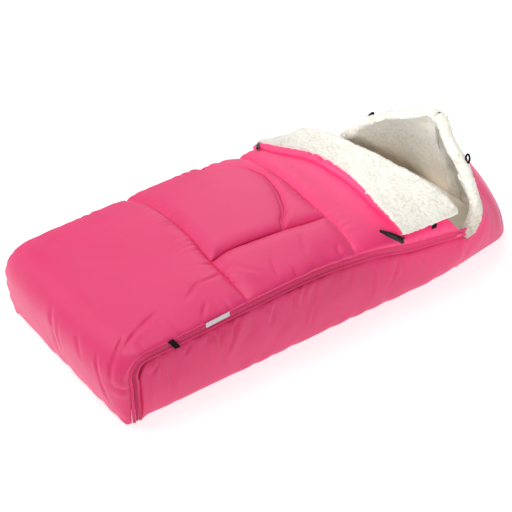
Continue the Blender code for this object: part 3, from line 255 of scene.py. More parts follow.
def grow_pile(piece, depth, share, seed, unshaded=1.0):
    """Raises the curls out of a fleece mesh; share is how much of the depth stands at each point, and the last
    argument is 1 where no painted shade is added and less where the pile is painted warm and tan as shade."""
    points, normals = read_points(piece), read_normals(piece)
    height = pile(points, seed)
    write_points(piece, points + normals * (depth * (height - 0.55) * share)[:, None])
    attribute = piece.data.attributes.new("pile", "FLOAT", "POINT")
    # Painted shade: lower curls take a darker ramp colour, and the last argument adds more painted shade where it is
    # below 1.
    shown = (BETWEEN_CURLS + (1 - BETWEEN_CURLS) * height) * unshaded
    attribute.data.foreach_set("value", np.asarray(shown, np.float32))


for part in ("foot", "middle", "head"):
    fleece = remeshed(f"back_fleece_{part}", f"base_fleece_{part}", FLEECE_MESH)
    fleece.data.materials.append(curls)
    points = read_points(fleece)
    rising = share_of(points[:, 2] - PILE_FOOT_Z, 0.006)
    # Painted shade: past UNDER_HOOD_X the pile is coloured darker and warmer, as shade under the hood.
    shaded_under_hood = share_of(points[:, 0] - UNDER_HOOD_X, 0.1)
    grow_pile(fleece, BASE_PILE, rising, seed=40, unshaded=1 - 0.45 * shaded_under_hood)
    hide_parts(f"back_fleece_{part}")
    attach(fleece, "root")

# Side walls. A long padded strip of the same nylon stands on each side, 12.5 mm thick, sewn to the base below and
# to the zip above, where the stitching gathers it into short upright puckers. It is lined with the curly pile.
CLOTH_GAP = 0.0006  # between two layers of cloth
HALF_WIDTH, FLOOR_HALF_WIDTH, HEAD_HALF_WIDTH = 0.209, 0.203, 0.193
# Places from foot to head: the foot end, the cover's two cross seams and the zips' sliders.
FOOT_X, SEAM_1_X, SEAM_2_X, SLIDER_X = -0.5, -0.212, 0.054, 0.314
SHELL, FLEECE, LINING_PILE = 0.0125, 0.008, 0.0026  # a padded panel, its lining and how far the curls stand
BAND = 0.028  # the side zip's whole width
FOOT_RADIUS, FOOT_BOW = 0.060, 0.012  # the foot's rounding, and how far its middle stands out
CORNER_PULL = {"near": 0.018, "far": -0.005}  # how far the zip draws the foot's corner in
WELT = 0.004  # how far the cloth laps over the zip's tapes
# Heights of the side zip's middle; its last 140 mm run straight down to the slider.
ZIP_FOOT_Z, ZIP_SEAM_1_Z, ZIP_CREST_Z, ZIP_SEAM_2_Z = 0.138, 0.149, 0.154, 0.143
ZIP_STRAIGHT_Z, ZIP_HEAD_Z = 0.116, 0.094
ARC_RIM_X = FOOT_X + FOOT_BOW + FOOT_RADIUS
ZIP_STRAIGHT_LENGTH = 0.140
STRAIGHT_X = SLIDER_X - ZIP_STRAIGHT_LENGTH
STRAIGHT_SLOPE = (ZIP_HEAD_Z - ZIP_STRAIGHT_Z) / ZIP_STRAIGHT_LENGTH
ZIP_LINE = [
    (ARC_RIM_X, ZIP_FOOT_Z),
    (SEAM_1_X, ZIP_SEAM_1_Z),
    ((SEAM_1_X + SEAM_2_X) / 2, ZIP_CREST_Z),
    (SEAM_2_X, ZIP_SEAM_2_Z),
    (STRAIGHT_X, ZIP_STRAIGHT_Z),
    (SLIDER_X, ZIP_HEAD_Z),
]
SIDES = {"near": -1, "far": 1}
WALL_BULGE = 0.007
WALL_TAPER_X = SLIDER_X - 0.130  # from here the wall draws in to the hood
CORNER_REACH = 0.10  # length over which the corner's drawing-in dies away
# The far side settles by this share of its height, growing outwards and dying away toward the head.
SETTLING, SETTLES_FROM_Y, SETTLES_OVER, SETTLES_TO_X = 0.055, 0.09, 0.11, 0.12
CORNER_RADIUS = FOOT_RADIUS - BAND + WELT
WALL_FOOT_X = ARC_RIM_X - CORNER_RADIUS
LINING_TOP = SHELL + CLOTH_GAP
LINING_UNDER = LINING_TOP + FLEECE


def signed_volume(points, quads):
    """Volume inside a closed mesh of quads; it is negative where the faces point inwards."""
    total = 0.0
    for corners in ([0, 1, 2], [0, 2, 3]):
        a, b, c = (points[quads[:, k]] for k in corners)
        total += np.einsum("ij,ij->i", a, np.cross(b, c)).sum() / 6
    return total


def piece_from(name, points, quads, material, crease=50):
    """An object at the origin from points and quads, its faces turned outwards and shaded smooth."""
    points, quads = np.asarray(points, float), np.asarray(quads, int)
    if signed_volume(points, quads) < 0:
        quads = quads[:, ::-1]
    mesh = bpy.data.meshes.new(name)
    mesh.vertices.add(len(points))
    mesh.vertices.foreach_set("co", points.ravel())
    mesh.loops.add(quads.size)
    mesh.loops.foreach_set("vertex_index", quads.ravel().astype(np.int32))
    mesh.polygons.add(len(quads))
    mesh.polygons.foreach_set("loop_start", np.arange(0, quads.size, 4, dtype=np.int32))
    mesh.update(calc_edges=True)
    mesh.validate()
    mesh.shade_smooth()
    mesh.set_sharp_from_angle(angle=math.radians(crease))
    mesh.materials.append(material)
    return in_scene(name, mesh)


def band_between(here, ahead):
    """Quads between rows of corners and the next rows, all of them going round."""
    return np.stack([here, np.roll(here, -1, -1), np.roll(ahead, -1, -1), ahead], -1).reshape(-1, 4)


def shell_between(name, outer, inner, material, crease=50):
    """A closed sheet of cloth between two grids of points, rows by columns."""
    rows, columns = outer.shape[:2]
    index = np.arange(rows * columns).reshape(rows, columns)
    below = index + rows * columns
    quads = [np.stack([index[:-1, :-1], index[1:, :-1], index[1:, 1:], index[:-1, 1:]], -1).reshape(-1, 4)]
    quads.append(np.stack([below[:-1, :-1], below[:-1, 1:], below[1:, 1:], below[1:, :-1]], -1).reshape(-1, 4))
    rim = np.concatenate([index[0, :-1], index[:-1, -1], index[-1, :0:-1], index[:0:-1, 0]])
    quads.append(band_between(rim, rim + rows * columns))
    points = np.concatenate([outer.reshape(-1, 3), inner.reshape(-1, 3)])
    return piece_from(name, points, np.concatenate(quads), material, crease)


def smooth_through(points, x):
    """Height at x of a smooth curve through the points."""
    xs, zs = np.array(points, float).T
    steps, x = np.diff(xs), np.asarray(x, float)
    slopes = np.diff(zs) / steps
    a, b = slopes[:-1], slopes[1:]
    inner = np.where(a * b > 0, 2 * a * b / np.where(a + b == 0, 1, a + b), 0.0)
    tangents = np.concatenate([slopes[:1], inner, slopes[-1:]])
    i = np.clip(np.searchsorted(xs, x) - 1, 0, len(steps) - 1)
    t = (x - xs[i]) / steps[i]
    curve = (2 * t**3 - 3 * t**2 + 1) * zs[i] + (t**3 - 2 * t**2 + t) * steps[i] * tangents[i]
    curve = curve + (3 * t**2 - 2 * t**3) * zs[i + 1] + (t**3 - t**2) * steps[i] * tangents[i + 1]
    end = np.where(t <= 0, i, i + 1)
    return np.where((t <= 0) | (t >= 1), zs[end] + tangents[end] * (x - xs[end]), curve)


def zip_z(x):
    """Height of the side zip's teeth."""
    x = np.asarray(x, float)
    straight = ZIP_STRAIGHT_Z + STRAIGHT_SLOPE * (x - STRAIGHT_X)
    return np.where(x >= STRAIGHT_X, straight, smooth_through(ZIP_LINE, x))


RIM_CENTRE_Z = float(zip_z(ARC_RIM_X)) + BAND / 2 - FOOT_RADIUS


def mound(offset, width):
    """1 in the middle, falling off to both sides."""
    return np.exp(-((offset / width) ** 2))


def settled(points):
    """The soft far side lies up to 9 mm lower than it is cut."""
    x, y, z = points[..., 0], points[..., 1], points[..., 2]
    share = share_of(y - SETTLES_FROM_Y, SETTLES_OVER) * share_of(SETTLES_TO_X - x, 0.10)
    return np.stack([x, y, z * (1 - SETTLING * share * share * (3 - 2 * share))], -1)


def corner_pull(y):
    """How far the zip draws the foot's corner in at this side."""
    return np.where(np.asarray(y) < 0, CORNER_PULL["near"], CORNER_PULL["far"])


def floor_y(x):
    """Half width at the floor, which draws in towards the hood."""
    share = share_of(x - WALL_TAPER_X, SLIDER_X - WALL_TAPER_X)
    return FLOOR_HALF_WIDTH + (HEAD_HALF_WIDTH - FLOOR_HALF_WIDTH) * share**2


def wall_top(x):
    """Height of the wall's top edge, where it laps over the zip's lower tape."""
    low = RIM_CENTRE_Z + np.sqrt(np.maximum(CORNER_RADIUS**2 - np.minimum(ARC_RIM_X - x, CORNER_RADIUS) ** 2, 0.0))
    welt = WELT * share_of(SLIDER_X - x, 0.04)
    return np.where(x < ARC_RIM_X, low, zip_z(x) - BAND / 2 + welt)


def wall_point(x, share, side, depth):
    """A point in the wall: share is 0 at the floor and 1 at the zip, and depth goes inwards."""
    corner = np.maximum(0.0, 1 - (x - WALL_FOOT_X) / CORNER_REACH)
    z = wall_top(x) * share
    y = floor_y(x) + (HALF_WIDTH - floor_y(x)) * share + WALL_BULGE * np.sin(np.pi * share)
    return settled(np.stack(np.broadcast_arrays(x + corner * corner_pull(side), side * (y - depth), z), -1))


def unevenness(x, y, seed, wide, tall, size, layer=0.0):
    """Slow rise and fall of padded cloth, in patches of this width and height, by up to half the size each way."""
    return size * (drift(x / wide, y / tall, layer, seed) - 0.5)


def crease_marks(points, marks):
    """Long soft creases: each mark gives its two ends, how wide it is and how deep."""
    total = np.zeros(points.shape[:-1])
    for start, end, width, depth in marks:
        start, way = np.array(start), np.array(end) - np.array(start)
        t = np.clip(((points - start) @ way) / (way @ way), 0, 1)
        off = np.linalg.norm(points - start - t[..., None] * way, axis=-1)
        taper = np.sin(np.pi * np.clip(t * 0.9 + 0.05, 0, 1)) ** 0.7
        valley, lip = mound(off, width), mound(off, 2.2 * width)
        total += depth * taper * (0.45 * lip - valley)
    return total


WALL_FULLNESS, FLOOR_DIP, ZIP_DIP = 0.0025, 0.0060, 0.0028
WALL_CREASES = [  # in x and height on the near wall
    ((-0.244, 0.134), (-0.256, 0.105), 0.0045, 0.0050),
    ((-0.256, 0.105), (-0.272, 0.078), 0.0050, 0.0032),
    ((-0.277, 0.129), (-0.285, 0.104), 0.0045, 0.0046),
    ((-0.284, 0.100), (-0.276, 0.058), 0.0060, 0.0030),
    ((-0.296, 0.130), (-0.293, 0.110), 0.0038, 0.0034),
    ((-0.343, 0.128), (-0.358, 0.112), 0.0040, 0.0030),
    ((-0.396, 0.107), (-0.391, 0.049), 0.0070, 0.0026),
    ((-0.421, 0.118), (-0.442, 0.100), 0.0050, 0.0034),
    ((-0.178, 0.138), (-0.179, 0.124), 0.0040, 0.0030),
    ((-0.160, 0.138), (-0.171, 0.098), 0.0055, 0.0034),
    ((-0.123, 0.139), (-0.117, 0.112), 0.0045, 0.0030),
    ((-0.076, 0.085), (-0.081, 0.043), 0.0060, 0.0024),
    ((0.065, 0.127), (0.065, 0.058), 0.0055, 0.0036),
    ((0.131, 0.112), (0.109, 0.057), 0.0060, 0.0034),
    ((0.099, 0.120), (0.102, 0.093), 0.0045, 0.0028),
    ((0.187, 0.100), (0.195, 0.079), 0.0045, 0.0024),
]
turn_in = ARC_RIM_X - CORNER_RADIUS * np.cos(np.linspace(0, math.pi / 2, 26))
wall_xs = np.concatenate([turn_in, np.linspace(ARC_RIM_X, SLIDER_X, 250)[1:]])
# The rows lie closer together at the wall's two seams.
wall_shares = np.sin(np.linspace(-1, 1, 44) * math.pi / 2 * 0.96) / 2 / math.sin(0.48 * math.pi) + 0.5
for name, side in SIDES.items():
    xs, shares = np.meshgrid(wall_xs, wall_shares, indexing="ij")
    tops = wall_top(xs)
    below_zip, above_floor = tops * (1 - shares), tops * shares
    seed = 60 if side < 0 else 80
    bulk = gathers(xs, below_zip, seed, pitch=0.031, reach=0.040, size=0.0078)
    bulk += gathers(xs, above_floor, seed + 1, pitch=0.055, reach=0.022, size=0.0030)
    bulk += gathers(xs + 0.35 * below_zip, below_zip, seed + 2, pitch=0.075, reach=0.090, size=0.0045)
    if side < 0:
        bulk += 1.5 * crease_marks(np.stack([xs, tops * shares], -1), WALL_CREASES)
    bulk += unevenness(xs, above_floor, seed + 3, wide=0.10, tall=0.05, size=0.0040, layer=1.0)
    bulk += WALL_FULLNESS * np.sin(np.pi * shares)
    bulk -= FLOOR_DIP * die_away(above_floor, 0.007) + ZIP_DIP * die_away(below_zip, 0.0035)
    bulk *= np.maximum(share_of(xs - WALL_FOOT_X, 0.02), 0.15) * share_of(SLIDER_X - xs, 0.015)
    outer = wall_point(xs, shares, side, -bulk)
    inner = wall_point(xs, shares, side, SHELL)
    wall = shell_between(f"padded_side_{name}", outer, inner, satin)
    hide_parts(f"side_wall_{name}")
    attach(wall, "root")
    xs, shares = np.meshgrid(wall_xs[::2], np.linspace(0, 1, 34), indexing="ij")
    outer, inner = wall_point(xs, shares, side, LINING_TOP), wall_point(xs, shares, side, LINING_UNDER)
    lining = shell_between(f"side_fleece_{name}", outer, inner, curls)
    grow_pile(lining, LINING_PILE, np.repeat([0.0, 1.0], xs.size), seed=50)
    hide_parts(f"side_wall_lining_{name}")
    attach(lining, "root")

# Cover, foot panel. One padded panel of satin nylon rises from the floor over the foot end and runs on to the first
# cross seam. It is cut full at the corners, so the zip draws it into long slanting folds there.
PUFF, SEAM_REACH, STITCHED = 0.005, 0.032, 0.00005  # swelling, the distance it takes, and half a seam's gap
SEAM_DIP, STITCH_DIP, STITCH_REACH = 0.0028, 0.0022, 0.0022
EDGE_POWER = 0.72  # shape of the cross section: 1 is an ellipse, less is squarer
CROWN = 0.020  # height of the cross section, for lengths along the cloth
FACE_HEIGHT = 0.097
FOOT_TUCK, NEAR_TUCK = 0.014, 0.010  # how far the face draws in at the floor, and further on the near side
FOLD_X = 0.242  # where the collar is folded back
CROWN_LINE = [(ARC_RIM_X, 0.009), (SEAM_1_X, 0.015), (SEAM_2_X, 0.020), (FOLD_X, 0.054)]


def across(theta):
    """Share of the half width and share of the crown at this angle of the cross section."""
    sine, cosine = np.sin(theta), np.maximum(np.cos(theta), 0.0)
    return np.sign(sine) * np.abs(sine) ** EDGE_POWER, cosine**EDGE_POWER


def y_at(theta):
    """y on the cover's outside at this angle."""
    return HALF_WIDTH * across(theta)[0]


def edge_z(x):
    """Height of the cover's side edge."""
    return zip_z(x) + BAND / 2


def top_z(x, theta, depth):
    """Height of the cover at x and at this angle of its cross section."""
    return edge_z(x) + (smooth_through(CROWN_LINE, x) - depth) * across(theta)[1]


def foot_centre(theta):
    """x and z of the middle of the foot's rounding."""
    return FOOT_X + FOOT_BOW * (1 - across(theta)[1]) + FOOT_RADIUS, top_z(ARC_RIM_X, theta, 0.0) - FOOT_RADIUS


def cover_point(u, theta, depth):
    """A point under the cover's outside: u is 0-1 up the foot face, 1-2 round its top, 2-3 on to the fold."""
    out, up = across(theta)
    y = (HALF_WIDTH - depth) * out
    cx, cz = foot_centre(theta)
    low = (1 - np.clip(u, 0, 1)) ** 2
    aside = (1 - up) ** 1.5
    lap, pull = WELT * aside, corner_pull(theta) * aside
    radius = FOOT_RADIUS - depth * up - lap
    tuck = 1 - low * (HALF_WIDTH - FLOOR_HALF_WIDTH) / HALF_WIDTH
    face_x = cx - radius + low * (FOOT_TUCK + NEAR_TUCK * np.clip(0.3 - out, 0, 1)) * up + pull
    angle = math.pi * (1 - (u - 1) / 2)
    x = cx + (u - 2) * (FOLD_X - cx)
    ease = die_away(np.maximum(x - cx, 0), FOOT_RADIUS)
    flat_z = top_z(x, theta, depth) - lap - (top_z(cx, theta, depth) - lap - (cz + radius)) * ease
    round_x = cx + radius * np.cos(angle) + pull * (2 - u)
    px = np.where(u <= 1, face_x, np.where(u <= 2, round_x, x))
    pz = np.where(u <= 1, cz * u, np.where(u <= 2, cz + radius * np.sin(angle), flat_z))
    return settled(np.stack(np.broadcast_arrays(px, y * np.where(u <= 1, tuck, 1.0), pz), -1))


def u_at(x, theta):
    """The cover's u at x on its flat part."""
    return 2 + (x - foot_centre(theta)[0]) / (FOLD_X - foot_centre(theta)[0])


def run_at(u, theta):
    """Distance along the cover, measured as the x of its flat part and carried on round the foot."""
    cx = foot_centre(theta)[0]
    quarter = FOOT_RADIUS * math.pi / 2
    face = cx - quarter - (1 - u) * FACE_HEIGHT
    return np.where(u > 2, cx + (u - 2) * (FOLD_X - cx), np.where(u > 1, cx - (2 - u) * quarter, face))


def angles_between(first_y, last_y, count):
    """Angles of the cross section, spaced evenly along the cloth between two values of y."""
    fine = np.linspace(-math.pi / 2, math.pi / 2, 4001)
    out, up = across(fine)
    y, z = HALF_WIDTH * out, CROWN * up
    length = np.concatenate([[0], np.cumsum(np.hypot(np.diff(y), np.diff(z)))])
    low, high = np.interp(first_y, y, length), np.interp(last_y, y, length)
    if first_y <= -HALF_WIDTH:
        low = 0.0
    if last_y >= HALF_WIDTH:
        high = length[-1]
    return np.interp(np.linspace(low, high, count), length, fine)


SEAM_1_LINE = [(-0.209, -0.221), (-0.130, -0.218), (-0.085, -0.216), (0.006, -0.206)]
SEAM_1_LINE += [(0.080, -0.203), (0.147, -0.206), (0.209, -0.224)]


def seam_1_x(theta):
    """x of the first cross seam, which bows a little."""
    return smooth_through(SEAM_1_LINE, y_at(theta))


def swell(*distances):
    """How far a padded panel stands out, from its distances to its seams."""
    nearest = np.minimum.reduce(np.broadcast_arrays(*distances))
    share = np.minimum(nearest / SEAM_REACH, 1.0)
    rise = PUFF * share * (2 - share) - SEAM_DIP * (1 - share) ** 3
    return rise - STITCH_DIP * die_away(nearest, STITCH_REACH)


def off_edge(theta):
    """0 at the cover's two side edges and 1 a little way in."""
    return np.clip(3 * across(theta)[1], 0, 1)


def to_zip(theta):
    """Distance from the zip's edge, measured round the cloth."""
    out, up = across(theta)
    return HALF_WIDTH * (1 - np.abs(out)) + 0.5 * CROWN * up


def cover_shell(name, u, theta, bulk, thick=SHELL):
    """A panel of the cover, with its outside raised by bulk."""
    outer = cover_point(u, theta, -bulk)
    inner = cover_point(u, theta, np.full_like(u, thick))
    return shell_between(name, outer, inner, satin)


EDGE_DIP, EDGE_REACH = 0.0035, 0.005  # the dip along the zip's stitching


def zip_edge_pull(theta, run, seed, strength=1.0):
    """Puckers, and the rounded edge that the zip's stitching gives the cover along both sides."""
    away = to_zip(theta)
    seed = seed + np.where(theta < 0, 0, 40)
    puckers = gathers(run, away, seed, pitch=0.026, reach=0.024, size=0.0052 * strength)
    return puckers * (0.25 + 0.75 * off_edge(theta)) - EDGE_DIP * die_away(away, EDGE_REACH)


def grid_from_foot(face_u, round_u, u_end, rows, theta):
    """u and theta for a sheet that runs up the face, round the foot and on to a line on the top."""
    flat = 2 + (u_end[None, :] - 2) * np.linspace(0, 1, rows)[:, None]
    u = np.concatenate([np.repeat(face_u[:, None], theta.size, 1), np.repeat(round_u[:, None], theta.size, 1), flat])
    return u, np.broadcast_to(theta, u.shape)


FOOT_CREASES = [  # in run and y, as in the near panel's
    ((-0.448, -0.158), (-0.478, -0.176), 0.0050, 0.0060),
    ((-0.478, -0.176), (-0.530, -0.188), 0.0055, 0.0052),
    ((-0.372, -0.142), (-0.422, -0.160), 0.0060, 0.0040),
    ((-0.422, -0.160), (-0.463, -0.180), 0.0055, 0.0046),
    ((-0.500, -0.142), (-0.530, -0.158), 0.0050, 0.0046),
    ((-0.530, -0.158), (-0.580, -0.174), 0.0060, 0.0040),
    ((-0.500, 0.010), (-0.528, -0.006), 0.0070, 0.0034),
    ((-0.528, -0.006), (-0.585, -0.004), 0.0080, 0.0026),
    ((-0.512, -0.022), (-0.562, -0.028), 0.0060, 0.0026),
    ((-0.498, -0.078), (-0.528, -0.106), 0.0065, 0.0030),
    ((-0.222, -0.127), (-0.269, -0.127), 0.0050, 0.0036),
    ((-0.211, -0.098), (-0.242, -0.083), 0.0042, 0.0032),
    ((-0.265, -0.120), (-0.312, -0.146), 0.0060, 0.0030),
    ((-0.288, -0.172), (-0.311, -0.196), 0.0050, 0.0032),
]
COVER_COLUMNS, FLOOR_SEAM_DIP = 185, 0.005
theta = angles_between(-HALF_WIDTH, HALF_WIDTH, COVER_COLUMNS)
face_u, round_u = np.linspace(0, 1, 34)[:-1], np.linspace(1, 2, 34)[:-1]
u, theta = grid_from_foot(face_u, round_u, u_at(seam_1_x(theta) - STITCHED, theta), 78, theta)
run, y = run_at(u, theta), y_at(theta)
to_seam_1 = np.abs(run - seam_1_x(theta))
to_floor = np.clip(u, 0, 1) * 0.09
bulk = swell(to_seam_1, np.maximum(to_zip(theta), to_floor)) * off_edge(theta)
bulk += zip_edge_pull(theta, run, 101)
bulk += gathers(y, to_seam_1, 103, pitch=0.019, reach=0.020, size=0.0036)
bulk += gathers(y, to_floor, 104, pitch=0.050, reach=0.030, size=0.0045) * (u < 1)
bulk += unevenness(run, y, 105, wide=0.16, tall=0.13, size=0.0070) * share_of(to_zip(theta), 0.05)
bulk += unevenness(run, y, 106, wide=0.035, tall=0.05, size=0.0016)
bulk -= FLOOR_SEAM_DIP * die_away(to_floor, 0.006) * (u < 1) * share_of(to_zip(theta), 0.03)
bulk += crease_marks(np.stack([run, y], -1), FOOT_CREASES)
foot_panel = cover_shell("foot_panel", u, theta, bulk)
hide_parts("foot_wall", "cover_foot_panel")
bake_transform(foot_panel)

# Cover, near middle panel. It lies between the two cross seams, and a long seam divides it from the pocket. It is
# padded nylon too, and its stitching draws short puckers along every seam.
LONG_SEAM_Y, DRAWN_OVER = -0.083, 0.035  # the long seam, and how far to its sides the cloth is drawn with it
LONG_SEAM_LINE = [(-0.215, -0.086), (-0.170, -0.077), (-0.117, -0.081), (-0.049, -0.088)]
LONG_SEAM_LINE += [(0.001, -0.093), (0.055, -0.092)]
SEAM_2_LINE = [(-0.209, 0.027), (-0.154, 0.036), (-0.105, 0.043), (-0.023, 0.049)]
SEAM_2_LINE += [(0.058, 0.056), (0.160, 0.052), (0.209, 0.048)]


def seam_2_x(theta):
    """x of the second cross seam."""
    return smooth_through(SEAM_2_LINE, y_at(theta))


def long_seam_y(run):
    """y of the long seam, which waves a little along the cover."""
    return smooth_through(LONG_SEAM_LINE, run)


def grid_of(u_low, u_high, rows, theta):
    """u and theta for a panel between two lines, each given as a value at every angle."""
    share = np.linspace(0, 1, rows)[:, None]
    u = u_low[None, :] * (1 - share) + u_high[None, :] * share
    return u, np.broadcast_to(theta, u.shape)


def bent_to_seam(u, theta):
    """The same grid drawn sideways near the long seam, so that it follows the seam's shallow curve."""
    y = y_at(theta)
    y = y + (long_seam_y(run_at(u, theta)) - LONG_SEAM_Y) * mound(y - LONG_SEAM_Y, DRAWN_OVER)
    return np.arcsin(np.sign(y) * np.minimum(np.abs(y) / HALF_WIDTH, 1) ** (1 / EDGE_POWER))


def short_puckers(run, y, to_first, to_second, to_long, seed):
    """Puckers along a panel's two cross seams and its long seam."""
    bulk = gathers(y, to_first, seed, pitch=0.018, reach=0.016, size=0.0028)
    bulk += gathers(y, to_second, seed + 1, pitch=0.020, reach=0.015, size=0.0024)
    return bulk + gathers(run, to_long, seed + 2, pitch=0.023, reach=0.014, size=0.0022)


theta = angles_between(-HALF_WIDTH, LONG_SEAM_Y - STITCHED, 62)
u, theta = grid_of(u_at(seam_1_x(theta) + STITCHED, theta), u_at(seam_2_x(theta) - STITCHED, theta), 96, theta)
theta = bent_to_seam(u, theta)
run, y = run_at(u, theta), y_at(theta)
first, second = np.abs(run - seam_1_x(theta)), np.abs(run - seam_2_x(theta))
long_seam = np.abs(y - long_seam_y(run))
bulk = swell(first, second, long_seam) * off_edge(theta)
bulk += zip_edge_pull(theta, run, 121, 1.1) + short_puckers(run, y, first, second, long_seam, 123)
bulk += unevenness(run, y, 127, wide=0.10, tall=0.07, size=0.0060) * share_of(to_zip(theta), 0.04)
NEAR_CREASES = [
    ((-0.130, -0.151), (-0.142, -0.187), 0.0050, 0.0036),
    ((0.004, -0.174), (-0.012, -0.200), 0.0050, 0.0030),
    ((-0.196, -0.120), (-0.160, -0.172), 0.0060, 0.0024),
    ((-0.040, -0.120), (-0.066, -0.168), 0.0070, 0.0022),
]
bulk += crease_marks(np.stack([run, y], -1), NEAR_CREASES)
near_panel = cover_shell("middle_panel_near", u, theta, bulk)
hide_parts("cover_middle_near_panel")
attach(near_panel, "cover")

# Pocket front. A patch of the same padded cloth, shut along three sides; its free mouth curves across the cover, is
# turned over and topstitched 6 mm from the edge.
POCKET_MOUTH = [(-0.093, 0.163), (-0.065, 0.172), (-0.050, 0.188), (-0.012, 0.210), (0.033, 0.229), (0.091, 0.240)]
POCKET_MOUTH += [(0.136, 0.234), (0.165, 0.208), (0.185, 0.165)]
POCKET_FRONT, PATCH_PROUD = 0.005, 0.0012
MOUTH_GAP = 0.0008
TOPSTITCH, TOPSTITCH_DIP, TOPSTITCH_WIDTH = 0.006, 0.0022, 0.0016
POCKET_COLUMNS = 118


def mouth_x(theta):
    """x of the pocket's mouth; past the last point it runs on at the same place."""
    y = np.minimum(y_at(theta), POCKET_MOUTH[-1][0])
    return SEAM_1_X + smooth_through(POCKET_MOUTH, y)


theta = angles_between(LONG_SEAM_Y + STITCHED, HALF_WIDTH, POCKET_COLUMNS)
u, theta = grid_of(u_at(seam_1_x(theta) + STITCHED, theta), u_at(mouth_x(theta), theta), 92, theta)
theta = bent_to_seam(u, theta)
run, y = run_at(u, theta), y_at(theta)
first, to_mouth = np.abs(run - seam_1_x(theta)), np.abs(run - mouth_x(theta))
long_seam = np.abs(y - long_seam_y(run))
bulk = swell(first, to_mouth + TOPSTITCH, long_seam) * off_edge(theta)
bulk += zip_edge_pull(theta, run, 131, 0.8) + short_puckers(run, y, first, to_mouth + 0.03, long_seam, 133)
bulk += unevenness(run, y, 137, wide=0.13, tall=0.11, size=0.0070) * share_of(to_zip(theta), 0.04)
bulk += PATCH_PROUD - TOPSTITCH_DIP * mound(to_mouth - TOPSTITCH, TOPSTITCH_WIDTH)
bulk -= PATCH_PROUD * die_away(to_mouth, 0.001)
pocket_front = cover_shell("pocket_front", u, theta, bulk, thick=POCKET_FRONT)
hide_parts("cover_pocket_front")
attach(pocket_front, "cover")

# Pocket back. The cover's own padded cloth runs on under the patch and shows past the mouth, up to the second
# seam. It is sewn in with the patch along the first seam, the long seam and the zip.
theta = angles_between(LONG_SEAM_Y + STITCHED, HALF_WIDTH, POCKET_COLUMNS)
hidden = grid_of(u_at(seam_1_x(theta) + STITCHED, theta), u_at(mouth_x(theta) + MOUTH_GAP, theta), 24, theta)
shown = grid_of(u_at(mouth_x(theta) + 2 * MOUTH_GAP, theta), u_at(seam_2_x(theta) - STITCHED, theta), 40, theta)
u, theta = np.concatenate([hidden[0], shown[0]]), np.concatenate([hidden[1], shown[1]])
theta = bent_to_seam(u, theta)
run, y = run_at(u, theta), y_at(theta)
second, long_seam = np.abs(run - seam_2_x(theta)), np.abs(y - long_seam_y(run))
past_mouth = run - mouth_x(theta)
bulk = swell(past_mouth + 0.004, second, long_seam) * off_edge(theta)
bulk += zip_edge_pull(theta, run, 141, 0.8) + gathers(y, second, 143, pitch=0.020, reach=0.015, size=0.0024)
bulk = np.where(past_mouth > 1.5 * MOUTH_GAP, bulk, -(POCKET_FRONT + CLOTH_GAP))
pocket_back = cover_shell("pocket_back", u, theta, bulk)
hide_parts("cover_pocket_back")
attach(pocket_back, "cover")

# Cover, top panel. It runs from the second cross seam under the collar to the folded edge, which swings back
# toward the foot on the far side, so the opening is wider there.
OPENING_LENGTH, ROLL_REACH, ZIP_END_CLEARANCE = 0.072, 0.014, 0.006
FOLD_SWEEP = OPENING_LENGTH - ROLL_REACH - ZIP_END_CLEARANCE
FAR_SWING, SWING_FROM_Y, SWING_OVER = 0.046, 0.045, 0.125  # how far the fold swings back, and where
SLIDER_ROOM, SMOOTH_FROM_X, UNDER_COLLAR_X = 0.012, 0.110, 0.145  # past the last, the cloth lies flat under the collar


def skew(y):
    """How far the opened fold lies back toward the foot at this y."""
    far = share_of(y - SWING_FROM_Y, SWING_OVER)
    return -FAR_SWING * far * far * (3 - 2 * far)


def cover_end_x(theta):
    """x of the cover's end, which runs on to the sliders at both sides."""
    side = (1 - across(theta)[1]) ** 1.5
    return FOLD_X + FOLD_SWEEP * side + skew(y_at(theta)) * (1 - side)


theta = angles_between(-HALF_WIDTH, HALF_WIDTH, COVER_COLUMNS)
u, theta = grid_of(u_at(seam_2_x(theta) + STITCHED, theta), u_at(cover_end_x(theta), theta), 66, theta)
run, y = run_at(u, theta), y_at(theta)
second = np.abs(run - seam_2_x(theta))
bulk = swell(second) * off_edge(theta)
bulk += zip_edge_pull(theta, run, 151) * share_of(SLIDER_X - SLIDER_ROOM - run, 0.03)
bulk += gathers(y, second, 153, pitch=0.021, reach=0.020, size=0.0030)
bulk += unevenness(run, y, 157, wide=0.08, tall=0.10, size=0.0050) * share_of(SMOOTH_FROM_X - run, 0.04)
bulk = np.where(run > UNDER_COLLAR_X, np.minimum(bulk, PUFF), bulk)
top_panel = cover_shell("top_panel", u, theta, bulk)
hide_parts("cover_top_panel")
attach(top_panel, "cover")

# Cover lining. One sheet of the curly pile is sewn in under the whole cover and down inside the foot panel, a
# little short of the zip at both sides.
LINING_SHARE = 0.985
theta = angles_between(-HALF_WIDTH * LINING_SHARE, HALF_WIDTH * LINING_SHARE, 92)
face_u, round_u = np.linspace(0.02, 1, 16)[:-1], np.linspace(1, 2, 12)[:-1]
u, theta = grid_from_foot(face_u, round_u, u_at(cover_end_x(theta) - 0.002, theta), 150, theta)
outer = cover_point(u, theta, np.full_like(u, LINING_TOP))
inner = cover_point(u, theta, np.full_like(u, LINING_UNDER))
cover_fleece = shell_between("cover_fleece", outer, inner, curls)
grow_pile(cover_fleece, LINING_PILE, np.repeat([0.0, 1.0], u.size), seed=55)
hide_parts("foot_wall_lining", "cover_lining")
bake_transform(cover_fleece)

# Side zips. On each side a coil zip runs from the floor at the foot, up round the corner and along to the hood. Its
# two woven polyester tapes stand up in a roll beside the teeth and are sewn to the wall below and the cover above.
GAP = 0.0003  # between pieces that touch
ZIP_INSET = 0.005
ZIP_Y = HALF_WIDTH - ZIP_INSET
